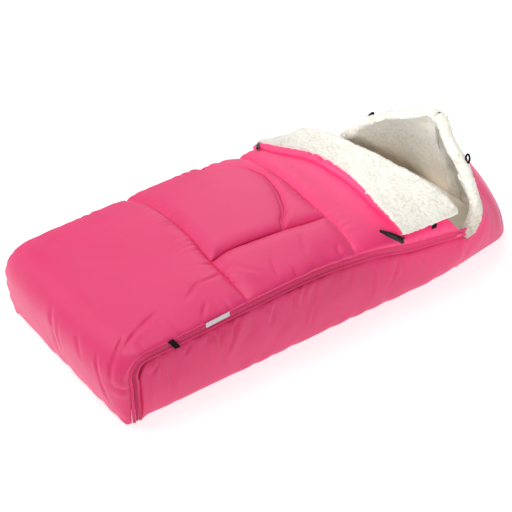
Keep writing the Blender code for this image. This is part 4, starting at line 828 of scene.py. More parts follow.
# The zip's section, from its middle outwards: a slot, a row of teeth, a gap and the tape.
TEETH_SLOT, TEETH_ROW = 0.0016, 0.0022
ROW_IN = TEETH_SLOT / 2
ROW_OUT = ROW_IN + TEETH_ROW
TAPE_IN, TAPE_OUT = ROW_OUT + GAP, BAND / 2 - CLOTH_GAP
SIDE_TAPE_OUT = TAPE_OUT - WELT
ZIP_FLOOR_CLEARANCE = 0.003
TOOTH_PITCH, TOOTH_LENGTH, TOOTH_WIDTH = 0.0032, 0.0026, 0.0030
HALF_TAPE = 0.0006

# Woven polyester tape: matt beside the satin, with cross ribs 0.9 mm wide, drawn about twice their real size.
tape, tree, shader = finish_named("woven_zip_tape_pink", {"Roughness": 0.7, "IOR": 1.5, "Sheen Weight": 0.2})
place = add(tree, "ShaderNodeTexCoord")
wear = add(tree, "ShaderNodeTexNoise", {"Vector": place.outputs["Object"], "Scale": 40.0, "Detail": 2.0})
tones = {"Factor": wear.outputs["Fac"], "A": linear("#F04080"), "B": linear("#F64E8C")}
shade = add(tree, "ShaderNodeMix", tones, data_type="RGBA")
tree.links.new(shade.outputs["Result"], shader.inputs["Base Color"])
ribs = add(tree, "ShaderNodeTexWave", {"Vector": place.outputs["Object"], "Scale": 170.0, "Distortion": 1.5})
rib_bump = add(tree, "ShaderNodeBump", {"Height": ribs.outputs["Fac"], "Strength": 0.25, "Distance": 0.0003})
tree.links.new(rib_bump.outputs["Normal"], shader.inputs["Normal"])

# Nylon coil and zinc sliders painted to match: smooth and a little glossy, with slight wear of the paint.
coil, tree, shader = finish_named("nylon_coil_pink", {"IOR": 1.53, "Coat Weight": 0.15, "Coat Roughness": 0.2})
place = add(tree, "ShaderNodeTexCoord")
rub = add(tree, "ShaderNodeTexNoise", {"Vector": place.outputs["Object"], "Scale": 220.0, "Detail": 2.0})
gloss = add(tree, "ShaderNodeMapRange", {"Value": rub.outputs["Fac"], "To Min": 0.28, "To Max": 0.5})
tones = {"Factor": rub.outputs["Fac"], "A": linear("#DF2766"), "B": linear("#F0508A")}
tint = add(tree, "ShaderNodeMix", tones, data_type="RGBA")
tree.links.new(gloss.outputs["Result"], shader.inputs["Roughness"])
tree.links.new(tint.outputs["Result"], shader.inputs["Base Color"])


def zip_point(s, height, side):
    """x and z on a side's zip: s is 0-1 up from the floor, 1-2 round the foot, 2-3 on to the slider."""
    s = np.asarray(s, float)
    radius = FOOT_RADIUS - BAND / 2 + height
    low_z = ZIP_FLOOR_CLEARANCE + (RIM_CENTRE_Z - ZIP_FLOOR_CLEARANCE) * s
    angle = math.pi * (1 - (s - 1) / 2)
    x = ARC_RIM_X + (s - 2) * (SLIDER_X - ARC_RIM_X)
    round_x = ARC_RIM_X + radius * np.cos(angle) + corner_pull(side) * (2 - s)
    px = np.where(s <= 1, ARC_RIM_X - radius + corner_pull(side), np.where(s <= 2, round_x, x))
    pz = np.where(s <= 1, low_z, np.where(s <= 2, RIM_CENTRE_Z + radius * np.sin(angle), zip_z(x) + height))
    return px, pz


def parts_tree(name, stitch):
    """A tree that puts one small part on every point: a rounded stitch, or an eight-sided coil tooth."""
    tree = bpy.data.node_groups.new(name, "GeometryNodeTree")
    tree.interface.new_socket("Geometry", in_out="INPUT", socket_type="NodeSocketGeometry")
    for socket in ("Length", "Width", "Height"):
        tree.interface.new_socket(socket, in_out="INPUT", socket_type="NodeSocketFloat")
    tree.interface.new_socket("Finish", in_out="INPUT", socket_type="NodeSocketMaterial")
    tree.interface.new_socket("Geometry", in_out="OUTPUT", socket_type="NodeSocketGeometry")
    given = tree.nodes.new("NodeGroupInput")
    made = tree.nodes.new("NodeGroupOutput")
    if stitch:
        part = add(tree, "GeometryNodeMeshUVSphere", {"Segments": 6, "Rings": 4, "Radius": 0.5})
    else:
        part = add(tree, "GeometryNodeMeshCylinder", {"Vertices": 8, "Radius": 0.5, "Depth": 1.0})
    sides = {"X": given.outputs["Length"], "Y": given.outputs["Width"], "Z": given.outputs["Height"]}
    size = add(tree, "ShaderNodeCombineXYZ", sides)
    turn = add(tree, "GeometryNodeInputNamedAttribute", {"Name": "turn"}, data_type="FLOAT_VECTOR")
    turned = add(tree, "FunctionNodeEulerToRotation", {"Euler": turn.outputs["Attribute"]})
    placed = add(tree, "GeometryNodeInstanceOnPoints", {
        "Points": given.outputs["Geometry"], "Instance": part.outputs["Mesh"],
        "Rotation": turned.outputs["Rotation"], "Scale": size.outputs["Vector"]})
    real = add(tree, "GeometryNodeRealizeInstances", {"Geometry": placed.outputs["Instances"]})
    smooth = add(tree, "GeometryNodeSetShadeSmooth", {"Geometry": real.outputs["Geometry"], "Shade Smooth": stitch})
    finish = {"Geometry": smooth.outputs["Geometry"], "Material": given.outputs["Finish"]}
    coloured = add(tree, "GeometryNodeSetMaterial", finish)
    tree.links.new(coloured.outputs["Geometry"], made.inputs["Geometry"])
    return tree


TEETH_TREE, STITCH_TREE = parts_tree("coil_teeth", False), parts_tree("thread_stitches", True)


def placed_parts(name, tree, places, turns, sizes, material):
    """Small parts at these places and turns, made by the tree and turned into a plain mesh."""
    seeds = bpy.data.meshes.new(name + "_places")
    seeds.from_pydata([tuple(p) for p in places], [], [])
    turn = seeds.attributes.new("turn", "FLOAT_VECTOR", "POINT")
    turn.data.foreach_set("vector", np.asarray(turns, np.float32).ravel())
    holder = in_scene(name + "_places", seeds)
    step = holder.modifiers.new("parts", "NODES")
    step.node_group = tree
    values = {"Length": sizes[0], "Width": sizes[1], "Height": sizes[2], "Finish": material}
    for socket in tree.interface.items_tree:
        if socket.in_out == "INPUT" and socket.name in values:
            step[socket.identifier] = values[socket.name]
    return in_scene(name, finished_mesh(holder, name))


def even_steps(path, pitch):
    """Parameters at which a path, a function of one number from 0 to 1, passes every so many metres."""
    fine = np.linspace(0, 1, 3000)
    line = path(fine)
    length = np.concatenate([[0], np.cumsum(np.linalg.norm(np.diff(line, axis=0), axis=1))])
    return np.interp(np.arange(pitch / 2, length[-1], pitch), length, fine)


zip_s = np.concatenate([np.linspace(0, 1, 40)[:-1], np.linspace(1, 2, 44)[:-1], np.linspace(2, 3, 330)])
TAPE_ROLL, SEWN_ROLL = 0.0030, 0.0022  # heights of the roll beside the teeth and of the one at the stitching
for name, side in SIDES.items():
    for way, part, nodes in ((-1, "lower", ("lower",)), (1, "upper", ("foot", "upper"))):
        share = np.linspace(0, 1, 15)
        heights = way * (TAPE_IN + (SIDE_TAPE_OUT - TAPE_IN) * share)
        s, height = np.meshgrid(zip_s, heights, indexing="ij")
        x, z = zip_point(s, height, side)
        ridge = TAPE_ROLL * np.sin(np.pi * share_of(share - 0.05, 0.60)) ** 0.8
        ridge += SEWN_ROLL * np.sin(np.pi * share_of(share - 0.62, 0.38)) ** 0.8
        ripple = 0.0007 * (drift(s * 28, height * 90, 0, 160 + way) - 0.5)
        proud, flush = HALF_TAPE + ridge + ripple, np.full_like(ripple, -HALF_TAPE)
        outer, inner = (settled(np.stack([x, side * (ZIP_Y + y), z], -1)) for y in (proud, flush))
        band = shell_between(f"zip_tape_{part}_{name}_woven", outer, inner, tape)
        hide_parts(*[f"zip_tape_{node}_{name}" for node in nodes])

        def row_line(t, height=way * TEETH_ROW / 2):
            x, z = zip_point(3 * t, height, side)
            return settled(np.stack([x, np.full_like(x, side * ZIP_Y), z], -1))

        ts = even_steps(row_line, TOOTH_PITCH)
        places, ahead = row_line(ts), row_line(np.minimum(ts + 0.0005, 1)) - row_line(ts - 0.0005)
        lean = np.arctan2(-ahead[:, 2], ahead[:, 0])
        turns = np.stack([0 * lean, lean, 0 * lean], -1)
        tooth = (TOOTH_LENGTH, TOOTH_WIDTH, TEETH_ROW)
        row = placed_parts(f"coil_{part}_{name}", TEETH_TREE, places, turns, tooth, coil)
        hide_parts(*[f"zip_teeth_{node}_{name}" for node in nodes])
        if way < 0:
            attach(band, "root")
            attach(row, "root")
        else:
            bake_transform(band)
            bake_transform(row)

# Sliders and pulls. Each zip has a slider with a flat pull tab, and the hood's slider carries the ring. They are
# cast zinc, painted to match, and their solids have the right shape, so they only take the painted finish.
for node in ("slider_near", "slider_far", "pull_near", "pull_far", "hood_slider"):
    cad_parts[node].data.materials.clear()
    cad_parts[node].data.materials.append(coil)

# Topstitching. Polyester thread in one row along the pocket's mouth and one along each side zip tape, drawn at one
# stitch every 5 mm, about twice the real length, so that it shows as the dotted line it is.
STITCH_PITCH, STITCH_LENGTH, MOUTH_THREAD, TAPE_THREAD = 0.005, 0.0036, 0.0010, 0.0009
TAPE_ROW_SHARE, TAPE_ROW_STAND = 0.63, 0.0011  # where on the tape's width the stitches lie, and how far out
SUNK = 0.0004  # how far the mouth's stitches sink into the cloth
thread, tree, shader = finish_named("polyester_thread_pink", {"Roughness": 0.55})
place = add(tree, "ShaderNodeTexCoord")
twist = add(tree, "ShaderNodeTexNoise", {"Vector": place.outputs["Object"], "Scale": 900.0})
tones = {"Factor": twist.outputs["Fac"], "A": linear("#E0306F"), "B": linear("#EE4785")}
shade = add(tree, "ShaderNodeMix", tones, data_type="RGBA")
tree.links.new(shade.outputs["Result"], shader.inputs["Base Color"])


def stitch_row(name, path, breadth):
    """Stitches end to end along a path, each turned along it and as thick as it is broad."""
    ts = even_steps(path, STITCH_PITCH)
    places, ahead = path(ts), path(np.minimum(ts + 0.001, 1)) - path(np.maximum(ts - 0.001, 0))
    tilt = np.arctan2(-ahead[:, 2], np.hypot(ahead[:, 0], ahead[:, 1]))
    heading = np.arctan2(ahead[:, 1], ahead[:, 0])
    turns = np.stack([0 * heading, tilt, heading], -1)
    return placed_parts(name, STITCH_TREE, places, turns, (STITCH_LENGTH, breadth, breadth), thread)


theta_first, theta_last = angles_between(LONG_SEAM_Y + 0.004, HALF_WIDTH * 0.93, 2)


def mouth_line(t):
    """The line of stitches along the pocket's mouth, from the long seam to the far side."""
    theta = theta_first + (theta_last - theta_first) * np.asarray(t)
    u = u_at(mouth_x(theta) - TOPSTITCH, theta)
    near = np.minimum(np.abs(y_at(theta) - LONG_SEAM_Y), to_zip(theta))
    return cover_point(u, theta, SUNK - swell(near, np.full_like(near, 2 * TOPSTITCH)))


mouth_stitches = stitch_row("mouth_topstitch", mouth_line, MOUTH_THREAD)
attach(mouth_stitches, "cover")
for name, side in SIDES.items():
    for way, part in ((-1, "lower"), (1, "upper")):

        def tape_line(t, height=way * (TAPE_IN + (SIDE_TAPE_OUT - TAPE_IN) * TAPE_ROW_SHARE)):
            x, z = zip_point(0.15 + 2.83 * np.asarray(t), height, side)
            return settled(np.stack([x, np.full_like(x, side * (ZIP_Y + TAPE_ROW_STAND)), z], -1))

        row = stitch_row(f"tape_stitches_{part}_{name}", tape_line, TAPE_THREAD)
        if way < 0:
            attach(row, "root")
        else:
            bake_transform(row)

# Collar. The unzipped top of the cover is folded back: its nylon lies down on the cover, its fleece shows above,
# and the fleece goes on over the folded edge and down inside.
COLLAR_LENGTH, NEAR_ANGLE, FAR_ANGLE = 0.096, math.radians(66), math.radians(80)
COLLAR_SHELL, COLLAR_FLEECE, COLLAR_PILE = 0.005, 0.013, 0.0058
COLLAR_ROUNDING, COLLAR_OVERHANG, COLLAR_DIPS = 0.13, 0.007, 0.0050
COLLAR_UNDER = -(PUFF + CLOTH_GAP)
COLLAR_MIDDLE = COLLAR_UNDER - COLLAR_SHELL
COLLAR_TOP = COLLAR_MIDDLE - GAP - COLLAR_FLEECE
COLLAR_FOOT_X = FOLD_X - COLLAR_LENGTH
FOLD_PLACES = [(-0.21, 0.034), (-0.15, 0.026), (-0.10, 0.016), (-0.06, 0.008), (0.0, -0.002)]
FOLD_PLACES += [(0.06, -0.013), (0.11, -0.021), (0.16, -0.030), (0.21, -0.036)]
HEM_PLACES = [(-0.21, -0.010), (-0.12, -0.004), (-0.06, 0.010), (0.0, 0.017), (0.05, 0.017)]
HEM_PLACES += [(0.09, 0.009), (0.125, -0.012), (0.16, -0.032), (0.21, -0.040)]


def fold_skew(theta):
    """How far the fold lies from FOLD_X at this angle: the collar was turned back askew."""
    return smooth_through(FOLD_PLACES, y_at(theta))


def hem_skew(theta):
    """The same for the collar's free edge."""
    return smooth_through(HEM_PLACES, y_at(theta))


def collar_x(share, theta):
    """x on the collar, from its free edge to the fold, along lines that slant as it lies in the photo."""
    free = COLLAR_FOOT_X + hem_skew(theta)
    return free + (FOLD_X + fold_skew(theta) - free) * share


def rounded_edge(distance, radius):
    """Height of a rounded edge at this distance in from it, as a share of its full height."""
    return np.sqrt(np.clip(1 - (1 - share_of(distance, radius)) ** 2, 0, 1))


def side_taper(theta, reach):
    """Falls to 0 at the collar's two side edges with a rounded shoulder."""
    return rounded_edge(np.minimum(FAR_ANGLE - theta, theta + NEAR_ANGLE), reach)


collar_thetas = angles_between(y_at(-NEAR_ANGLE), y_at(FAR_ANGLE), 238)
share, theta = np.meshgrid(np.linspace(0, 1, 40), collar_thetas, indexing="ij")
u = u_at(collar_x(share, theta), theta)
under = cover_point(u, theta, np.full_like(u, COLLAR_UNDER))
above = cover_point(u, theta, COLLAR_MIDDLE + 0.0012 * drift(share * 3, theta * 6, 0, 171))
collar_back = shell_between("collar_nylon", above, under, satin)
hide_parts("collar_shell")
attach(collar_back, "collar")

# The fleece: rows along the collar's top, then rows round the fold and down inside the cover.
rows_top = np.linspace(0, 1, 66)
rows_turn = np.linspace(0, math.pi, 34)[1:]
theta = collar_thetas
outer_rows, inner_rows = [], []
taper = 0.25 + 0.75 * side_taper(theta, 0.16)
for share in rows_top:
    edge = rounded_edge(share, COLLAR_ROUNDING) * 0.94 + 0.06
    x = collar_x(share, theta)
    lift = (COLLAR_TOP - COLLAR_MIDDLE) * edge * taper
    lift = lift - COLLAR_DIPS * (drift(x / 0.050, theta * 3.6, 0, 172) - 0.5) * edge
    overhang = -COLLAR_OVERHANG * math.sin(math.pi * min(share / 0.26, 1)) * (1 - share)
    outer_rows.append(cover_point(u_at(x + overhang, theta), theta, COLLAR_MIDDLE - GAP + lift))
    inner_rows.append(cover_point(u_at(x, theta), theta, np.full_like(theta, COLLAR_MIDDLE - GAP)))
for turn in rows_turn:
    end_x = FOLD_X + fold_skew(theta)
    high = COLLAR_MIDDLE - GAP + (COLLAR_TOP - COLLAR_MIDDLE) * taper
    depth = (LINING_UNDER + high) / 2 - (LINING_UNDER - high) / 2 * np.cos(turn)
    reach = (ROLL_REACH + 0.002) * np.sin(turn) * (0.3 + 0.7 * taper)
    inner_depth = COLLAR_MIDDLE - GAP + (LINING_UNDER - 0.002 - COLLAR_MIDDLE) * turn / math.pi
    outer_rows.append(cover_point(u_at(end_x + 0.001 + reach, theta), theta, depth))
    inner_rows.append(cover_point(u_at(end_x + 0.0008, theta), theta, inner_depth))
collar_fleece = shell_between("collar_fleece_pile", np.array(outer_rows), np.array(inner_rows), curls, crease=80)
grow_pile(collar_fleece, COLLAR_PILE, np.repeat([1.0, 0.0], len(outer_rows) * len(theta)), seed=70)
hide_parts("collar_fleece", "collar_fold_roll")
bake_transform(collar_fleece)

# Collar hem. The nylon's free edge is rolled over on itself and stitched down, and the stitching pinches the roll
# at three places. It tapers off towards the near side.
HEM_WIDTH, HEM_THICKNESS, HEM_LAP = 0.018, 0.010, 0.004
HEM_PINCHES = ((0.060, 0.0045, 1.0), (-0.075, 0.0045, 1.0), (0.088, 0.004, 0.7))
share, theta = np.meshgrid(np.linspace(0, 1, 24), collar_thetas, indexing="ij")
y = y_at(theta)
width = HEM_WIDTH * (0.34 + 0.66 * share_of(y + 0.15, 0.19))
x = COLLAR_FOOT_X - GAP + hem_skew(theta) + HEM_LAP - width * (1 - share)
bead = (0.25 + 0.75 * np.sin(np.pi * (0.06 + 0.78 * share)) ** 0.7) * (HEM_THICKNESS + 0.0015)
pinch = sum(deep * mound(y - at, wide) for at, wide, deep in HEM_PINCHES)
bead = bead * (1 - 0.45 * pinch) + gathers(y, 0.01 * (1 - share), 175, pitch=0.012, reach=0.02, size=0.0022)
outer = cover_point(u_at(x, theta), theta, COLLAR_UNDER - np.maximum(bead, 0.001) * side_taper(theta, 0.06) - 0.0002)
inner = cover_point(u_at(x, theta), theta, np.full_like(x, COLLAR_UNDER))
hem = shell_between("collar_hem_roll", outer, inner, satin)
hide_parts("collar_hem")
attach(hem, "collar")

# Collar edge tab, toggle tabs and zip straps. Short pieces of black polyester webbing, folded and sewn down at
# their ends. Each solid is carried to where the dressed cloth puts it, and the near strap lies slanting.
TRIM_MESH = 0.0005
STRAP_BACK, STRAP_Z, STRAP_SHORTER, STRAP_SLANT = 0.0046, 0.1455, 0.76, 0.62

# Woven black webbing: dull, with close cross ribs, one to a millimetre.
webbing, tree, shader = finish_named("webbing_black", {"Roughness": 0.85, "Specular IOR Level": 0.15})
place = add(tree, "ShaderNodeTexCoord")
ribs = add(tree, "ShaderNodeTexWave", {"Vector": place.outputs["Object"], "Scale": 300.0, "Distortion": 2.0})
tones = {"Factor": ribs.outputs["Fac"], "A": linear("#050506"), "B": linear("#101012")}
shade = add(tree, "ShaderNodeMix", tones, data_type="RGBA")
tree.links.new(shade.outputs["Result"], shader.inputs["Base Color"])
rib_bump = add(tree, "ShaderNodeBump", {"Height": ribs.outputs["Fac"], "Strength": 0.4, "Distance": 0.0003})
tree.links.new(rib_bump.outputs["Normal"], shader.inputs["Normal"])
WEBBING_PARTS = (
    ("collar_edge_tab", "edge_tab", "collar"),
    ("toggle_tab_near", "near_toggle_tab", "collar"),
    ("toggle_tab_far", "far_toggle_tab", "collar"),
    ("zip_strap_near", "near_zip_strap", "root"),
    ("zip_strap_far", "far_zip_strap", "root"),
)
MOVED = {  # how far each trim is carried from its solid, so that it lies on the dressed cloth
    "edge_tab": (0.004, 0.010, 0.014),
    "near_toggle_tab": (0.0075, -0.003, 0.0065),
    "near_toggle": (0.0075, -0.004, 0.0065),
    "far_toggle_tab": (-0.003, 0.002, 0.0),
    "far_toggle": (-0.003, 0.002, 0.0),
    "far_zip_strap": (0.0, -0.002, -0.004),
}
for node, name, body in WEBBING_PARTS:
    trim = remeshed(node, name, TRIM_MESH)
    points = settled(read_points(trim)) + MOVED.get(name, (0, 0, 0))
    if name == "near_zip_strap":
        points = points - (STRAP_BACK, 0, 0)
        points[:, 2] = STRAP_Z + STRAP_SHORTER * (points[:, 2] - points[:, 2].mean())
        points[:, 0] -= STRAP_SLANT * (points[:, 2] - STRAP_Z)
    write_points(trim, points)
    trim.data.materials.append(webbing)
    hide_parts(node)
    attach(trim, body)

# Toggles. One hangs from a tab at each lower corner of the collar. They are moulded from black plastic in the shape
# of a horn, and are made a little plumper than their solids.
TOGGLE_FULLNESS = (1.02, 1.15, 1.30)
TOGGLES = (("toggle_near", "near_toggle"), ("toggle_far", "far_toggle"))

# Moulded plastic: black, with an uneven polish and a faint brown streak.
horn, tree, shader = finish_named(
    "horn_plastic_black", {"Specular IOR Level": 0.35, "Coat Weight": 0.12, "Coat Roughness": 0.1}
)
place = add(tree, "ShaderNodeTexCoord")
streak = add(tree, "ShaderNodeTexNoise", {"Vector": place.outputs["Object"], "Scale": 120.0, "Detail": 3.0})
tones = {"Factor": streak.outputs["Fac"], "A": linear("#040404"), "B": linear("#120E0D")}
shade = add(tree, "ShaderNodeMix", tones, data_type="RGBA")
gloss = add(tree, "ShaderNodeMapRange", {"Value": streak.outputs["Fac"], "To Min": 0.2, "To Max": 0.4})
tree.links.new(shade.outputs["Result"], shader.inputs["Base Color"])
tree.links.new(gloss.outputs["Result"], shader.inputs["Roughness"])
for node, name in TOGGLES:
    toggle = remeshed(node, name, TRIM_MESH)
    points = read_points(toggle)
    middle = points.mean(0)
    write_points(toggle, middle + (points - middle) * TOGGLE_FULLNESS + MOVED[name])
    toggle.data.materials.append(horn)
    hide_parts(node)
    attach(toggle, node)

# Label. A blank woven satin ribbon, pale grey, sewn in flat at the cover's edge above the near zip. It is smaller
# than its solid and follows the slope of the zip.
LABEL_SHARES, LABEL_SLOPE, LABEL_X, LABEL_Z = (0.87, 1.0, 0.58), 0.05, -0.288, 0.1585

# Woven satin ribbon: a low soft gloss, and a slight unevenness of its weft that is drawn at 3 mm to show.
ribbon, tree, shader = finish_named("satin_ribbon_grey", {"Roughness": 0.5, "Sheen Weight": 0.2})
place = add(tree, "ShaderNodeTexCoord")
weft = add(tree, "ShaderNodeTexNoise", {"Vector": place.outputs["Object"], "Scale": 300.0, "Detail": 2.0})
tones = {"Factor": weft.outputs["Fac"], "A": linear("#C9C9CE"), "B": linear("#E6E6EA")}
shade = add(tree, "ShaderNodeMix", tones, data_type="RGBA")
tree.links.new(shade.outputs["Result"], shader.inputs["Base Color"])
label = remeshed("side_label", "blank_label", TRIM_MESH)
points = read_points(label)
middle = points.mean(0)
points = (points - middle) * LABEL_SHARES
points[:, 2] += LABEL_SLOPE * points[:, 0]
write_points(label, points + (LABEL_X, middle[1], LABEL_Z))
label.data.materials.append(ribbon)
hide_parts("side_label")
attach(label, "cover")

# Hood. The head end turned up as two padded halves with a zip in the back seam: the same nylon and wadding as
# the walls, lined with the same pile. The lining's top edge rolls out over the drawcord's channel.
HOOD_PEAK_Z, HOOD_LEAN, HOOD_BULGE, NEAR_BULGE, RIDGE_Y = 0.229, 0.080, 0.012, 0.013, 0.014
HEAD_X = 0.5
HOOD_START, HOOD_LENGTH = SLIDER_X + GAP, HEAD_X - SLIDER_X
HOOD_SHELL, HOOD_FLEECE, HOOD_PILE = 0.0125, 0.014, 0.0050
FAR_LIFT = 0.022
HOOD_INSIDE = HOOD_SHELL + CLOTH_GAP + HOOD_FLEECE
HOOD_EDGE = [
    (0.0, HALF_WIDTH, float(zip_z(SLIDER_X)) - BAND / 2),
    (0.022, 0.208, 0.092),
    (0.042, 0.201, 0.126),
    (0.057, 0.162, 0.158),
    (0.070, 0.118, 0.183),
    (0.079, 0.068, 0.207),
    (HOOD_LENGTH - HOOD_LEAN, RIDGE_Y, HOOD_PEAK_Z),
]
HOOD_FLOOR = [
    (0.0, HEAD_HALF_WIDTH),
    (0.050, 0.186),
    (0.100, 0.179),
    (0.148, 0.169),
    (0.175, 0.144),
    (0.184, 0.100),
    (0.1848, 0.055),
    (0.1848, RIDGE_Y),
]
CHANNEL_RADIUS, CHANNEL_DEPTH, CHANNEL_STAND_OFF = 0.0045, 0.0065, 0.0014


def unit(ways):
    """The same directions with a length of 1."""
    return ways / np.linalg.norm(ways, axis=-1, keepdims=True)


def curve_through(points, t):
    """Points of a smooth curve through these points, for t from 0 to 1."""
    points = np.array(points, float)
    rows = np.concatenate([[2 * points[0] - points[1]], points, [2 * points[-1] - points[-2]]])
    at = np.clip(t, 0, 1) * (len(points) - 1)
    i = np.minimum(at.astype(int), len(points) - 2)
    f = (at - i)[..., None]
    before, a, b, after = rows[i], rows[i + 1], rows[i + 2], rows[i + 3]
    bend = 2 * before - 5 * a + 4 * b - after
    return 0.5 * (2 * a + (b - before) * f + bend * f**2 + (3 * a - before - 3 * b + after) * f**3)


def hood_edge(t, side):
    """The shell's top edge; the far half stands up straighter beside the collar."""
    t = np.asarray(t, float)
    lift = FAR_LIFT * (side > 0) * mound(t - 0.13, 0.11) * share_of(t, 0.03)
    line = curve_through(HOOD_EDGE, t) * (1, side, 1) + (HOOD_START, 0, 0)
    return line + lift[..., None] * np.array([0.0, 0.0, 1.0])


def hood_floor(t, side):
    """The shell's line on the floor."""
    line = curve_through(HOOD_FLOOR, np.asarray(t, float))
    return np.stack([HOOD_START + line[..., 0], side * line[..., 1], 0 * line[..., 0]], -1)


def hood_outward(t, side):
    """The level direction out of the hood at each t: sideways at the slider and straight back at the seam."""
    t = np.clip(t, 0, 1)
    along = hood_floor(t + 0.01, side) - hood_floor(t - 0.01, side)
    out = np.stack([along[..., 1], -along[..., 0], 0 * t], -1) * -side
    start = np.clip(1 - t / 0.05, 0, 1)[..., None]
    return unit(unit(out) * (1 - start) + np.array([0.0, side, 0.0]) * start)


def hood_point(t, share, side, depth):
    """A point in a hood half: t is 0 at the slider and 1 at the back seam, share is 0 at the floor and 1 at the
    edge, and depth goes inwards."""
    swelling = HOOD_BULGE * (1 - (1 - t) ** 2) * (1 - t**8) + WALL_BULGE * (1 - t) ** 3
    if side < 0:
        swelling = swelling + NEAR_BULGE * mound(t - 0.74, 0.24) * share_of(1 - t, 0.12)
    low, high = hood_floor(t, side), hood_edge(t, side)
    stand = swelling * np.sin(np.pi * np.clip(share, 0, 1)) ** 0.8 - depth
    return low + (high - low) * share[..., None] + hood_outward(t, side) * stand[..., None]


def hood_up(t, side):
    """The direction up out of the hood's edge, square to the edge."""
    one = np.ones_like(t)
    along = hood_point(t + 0.02, one, side, CHANNEL_DEPTH) - hood_point(t - 0.02, one, side, CHANNEL_DEPTH)
    square = np.cross(along, hood_outward(t, side))
    return unit(square) * np.sign(square[..., 2:])


def edge_place(t, side, inward, up):
    """A point near the hood's edge, by its distance inward and its height above the shell's edge."""
    one = np.ones_like(t)
    return hood_point(t, one, side, inward) + hood_up(t, side) * np.asarray(up)[..., None]


hood_ts = np.concatenate([np.linspace(0, 0.12, 20)[:-1], np.linspace(0.12, 1, 170)])
HOOD_ROUNDING = 0.0042
HOOD_CREASES = [  # in x and height
    ((0.330, 0.012), (0.352, 0.075), 0.012, 0.0030),
    ((0.352, 0.010), (0.372, 0.100), 0.010, 0.0034),
    ((0.385, 0.020), (0.378, 0.130), 0.012, 0.0030),
    ((0.415, 0.015), (0.392, 0.120), 0.014, 0.0032),
    ((0.445, 0.030), (0.405, 0.150), 0.012, 0.0026),
]
# Where the lining's edge starts to roll out, how far it comes over the shell, how high it stands and how far its
# edge drops outside.
ROLLED_EDGE = {"near": (0.12, 0.0026, 0.0155, (0.001, 0.002)), "far": (-0.05, 0.0034, 0.0145, (0.003, 0.006))}
PAINTED_SHADE_DEPTHS = {"near": 0.40, "far": 0.75}  # how much painted shade, warm and tan, the pile takes at the bottom of each half
for name, side in SIDES.items():
    share, t = np.meshgrid(np.linspace(0, 1, 76), hood_ts, indexing="ij")
    plain = hood_point(t, share, side, 0 * t)
    x, z = plain[..., 0] + 0.6 * (HALF_WIDTH - np.abs(plain[..., 1])), plain[..., 2]
    tall = np.linalg.norm(hood_edge(t, side) - hood_floor(t, side), axis=-1)
    top = share * tall
    from_edge = tall - top
    seam = np.linalg.norm(plain - hood_point(np.ones_like(t), share, side, 0 * t), axis=-1)
    bulk = unevenness(x, z, 181 + side, wide=0.045, tall=0.075, size=0.0030)
    bulk += unevenness(x, z, 183, wide=0.02, tall=0.05, size=0.0016)
    bulk += gathers(z, seam, 185, pitch=0.021, reach=0.045, size=0.0022)
    bulk += gathers(x, from_edge, 186, pitch=0.017, reach=0.035, size=0.0018)
    bulk -= crease_marks(np.stack([plain[..., 0], z], -1), HOOD_CREASES)
    near_edge = np.minimum(np.minimum(from_edge, seam), top + 0.001)
    bulk = bulk * share_of(near_edge, 0.014)
    rounded = HOOD_ROUNDING * (1 - rounded_edge(near_edge, 0.009))
    outer = hood_point(t, share, side, rounded - bulk)
    inner = hood_point(t, share, side, np.full_like(t, HOOD_SHELL))
    shell = shell_between(f"hood_padding_{name}", outer, inner, satin)
    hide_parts(f"hood_shell_{name}")
    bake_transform(shell)

    starts, over, high, drops = ROLLED_EDGE[name]
    growth = 0.35 + 0.65 * rounded_edge(hood_ts, 0.10)
    growth = growth * (0.92 + 0.16 * drift(hood_ts * 26, 3.5, 0, 187))
    growth = growth * (1 - 0.2 * share_of(hood_ts - 0.92, 0.06))
    growth = growth * (0.12 + 0.88 * share_of(hood_ts - starts, 0.05))
    shown, hidden = [], []
    for share in np.linspace(0, 1, 62):
        at = np.full_like(hood_ts, share)
        soft = 0.006 * (drift(hood_ts * 14, share * 5, 0, 188 + side) - 0.5) * min(share / 0.1, 1)
        shown.append(hood_point(hood_ts, at, side, HOOD_INSIDE + soft))
        hidden.append(hood_point(hood_ts, at, side, np.full_like(hood_ts, HOOD_SHELL + CLOTH_GAP)))
    for turn in np.linspace(0, math.pi, 30)[1:]:
        reach = (HOOD_INSIDE + over) / 2
        inward = HOOD_INSIDE - reach * (1 - math.cos(turn))
        shown.append(edge_place(hood_ts, side, inward, high * math.sin(turn) ** 0.9 * growth))
        bend = CHANNEL_RADIUS + CLOTH_GAP
        stand = (CHANNEL_STAND_OFF + CHANNEL_RADIUS + bend * math.sin(turn)) * growth**2
        hidden.append(edge_place(hood_ts, side, CHANNEL_DEPTH + bend * math.cos(turn), stand))
    for drop in drops:
        shown.append(edge_place(hood_ts, side, np.full_like(hood_ts, -over), np.full_like(hood_ts, -drop) * growth))
        hidden.append(edge_place(hood_ts, side, np.full_like(hood_ts, -CLOTH_GAP), np.full_like(hood_ts, -drop)))
    grids = []
    for rows in (shown, hidden):
        grid = np.array(rows)
        to_middle = np.array([0.0, -side * RIDGE_Y, 0.0])
        more = [grid[:, -1] + to_middle * step for step in (0.25, 0.5, 0.75, 1.0)]
        grids.append(np.concatenate([grid, np.stack(more, 1)], 1))
    lining = shell_between(f"hood_pile_{name}", grids[0], grids[1], curls, crease=80)
    outward_side = np.repeat([1.0, 0.0], grids[0].size // 3)
    heights = read_points(lining)[:, 2]
    # Painted shade: the pile is coloured warmer and darker toward the bottom of each half.
    unshaded = 1 - PAINTED_SHADE_DEPTHS[name] * (1 - share_of(heights - 0.03, 0.13))
    grow_pile(lining, HOOD_PILE, outward_side, seed=90, unshaded=unshaded)
    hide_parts(f"hood_fleece_{name}")
    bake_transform(lining)

# Hood channel and drawcord. A narrow tube of the nylon gathered along each top edge, with one braided cord 3 mm
# thick that runs through both and shows at the peak.

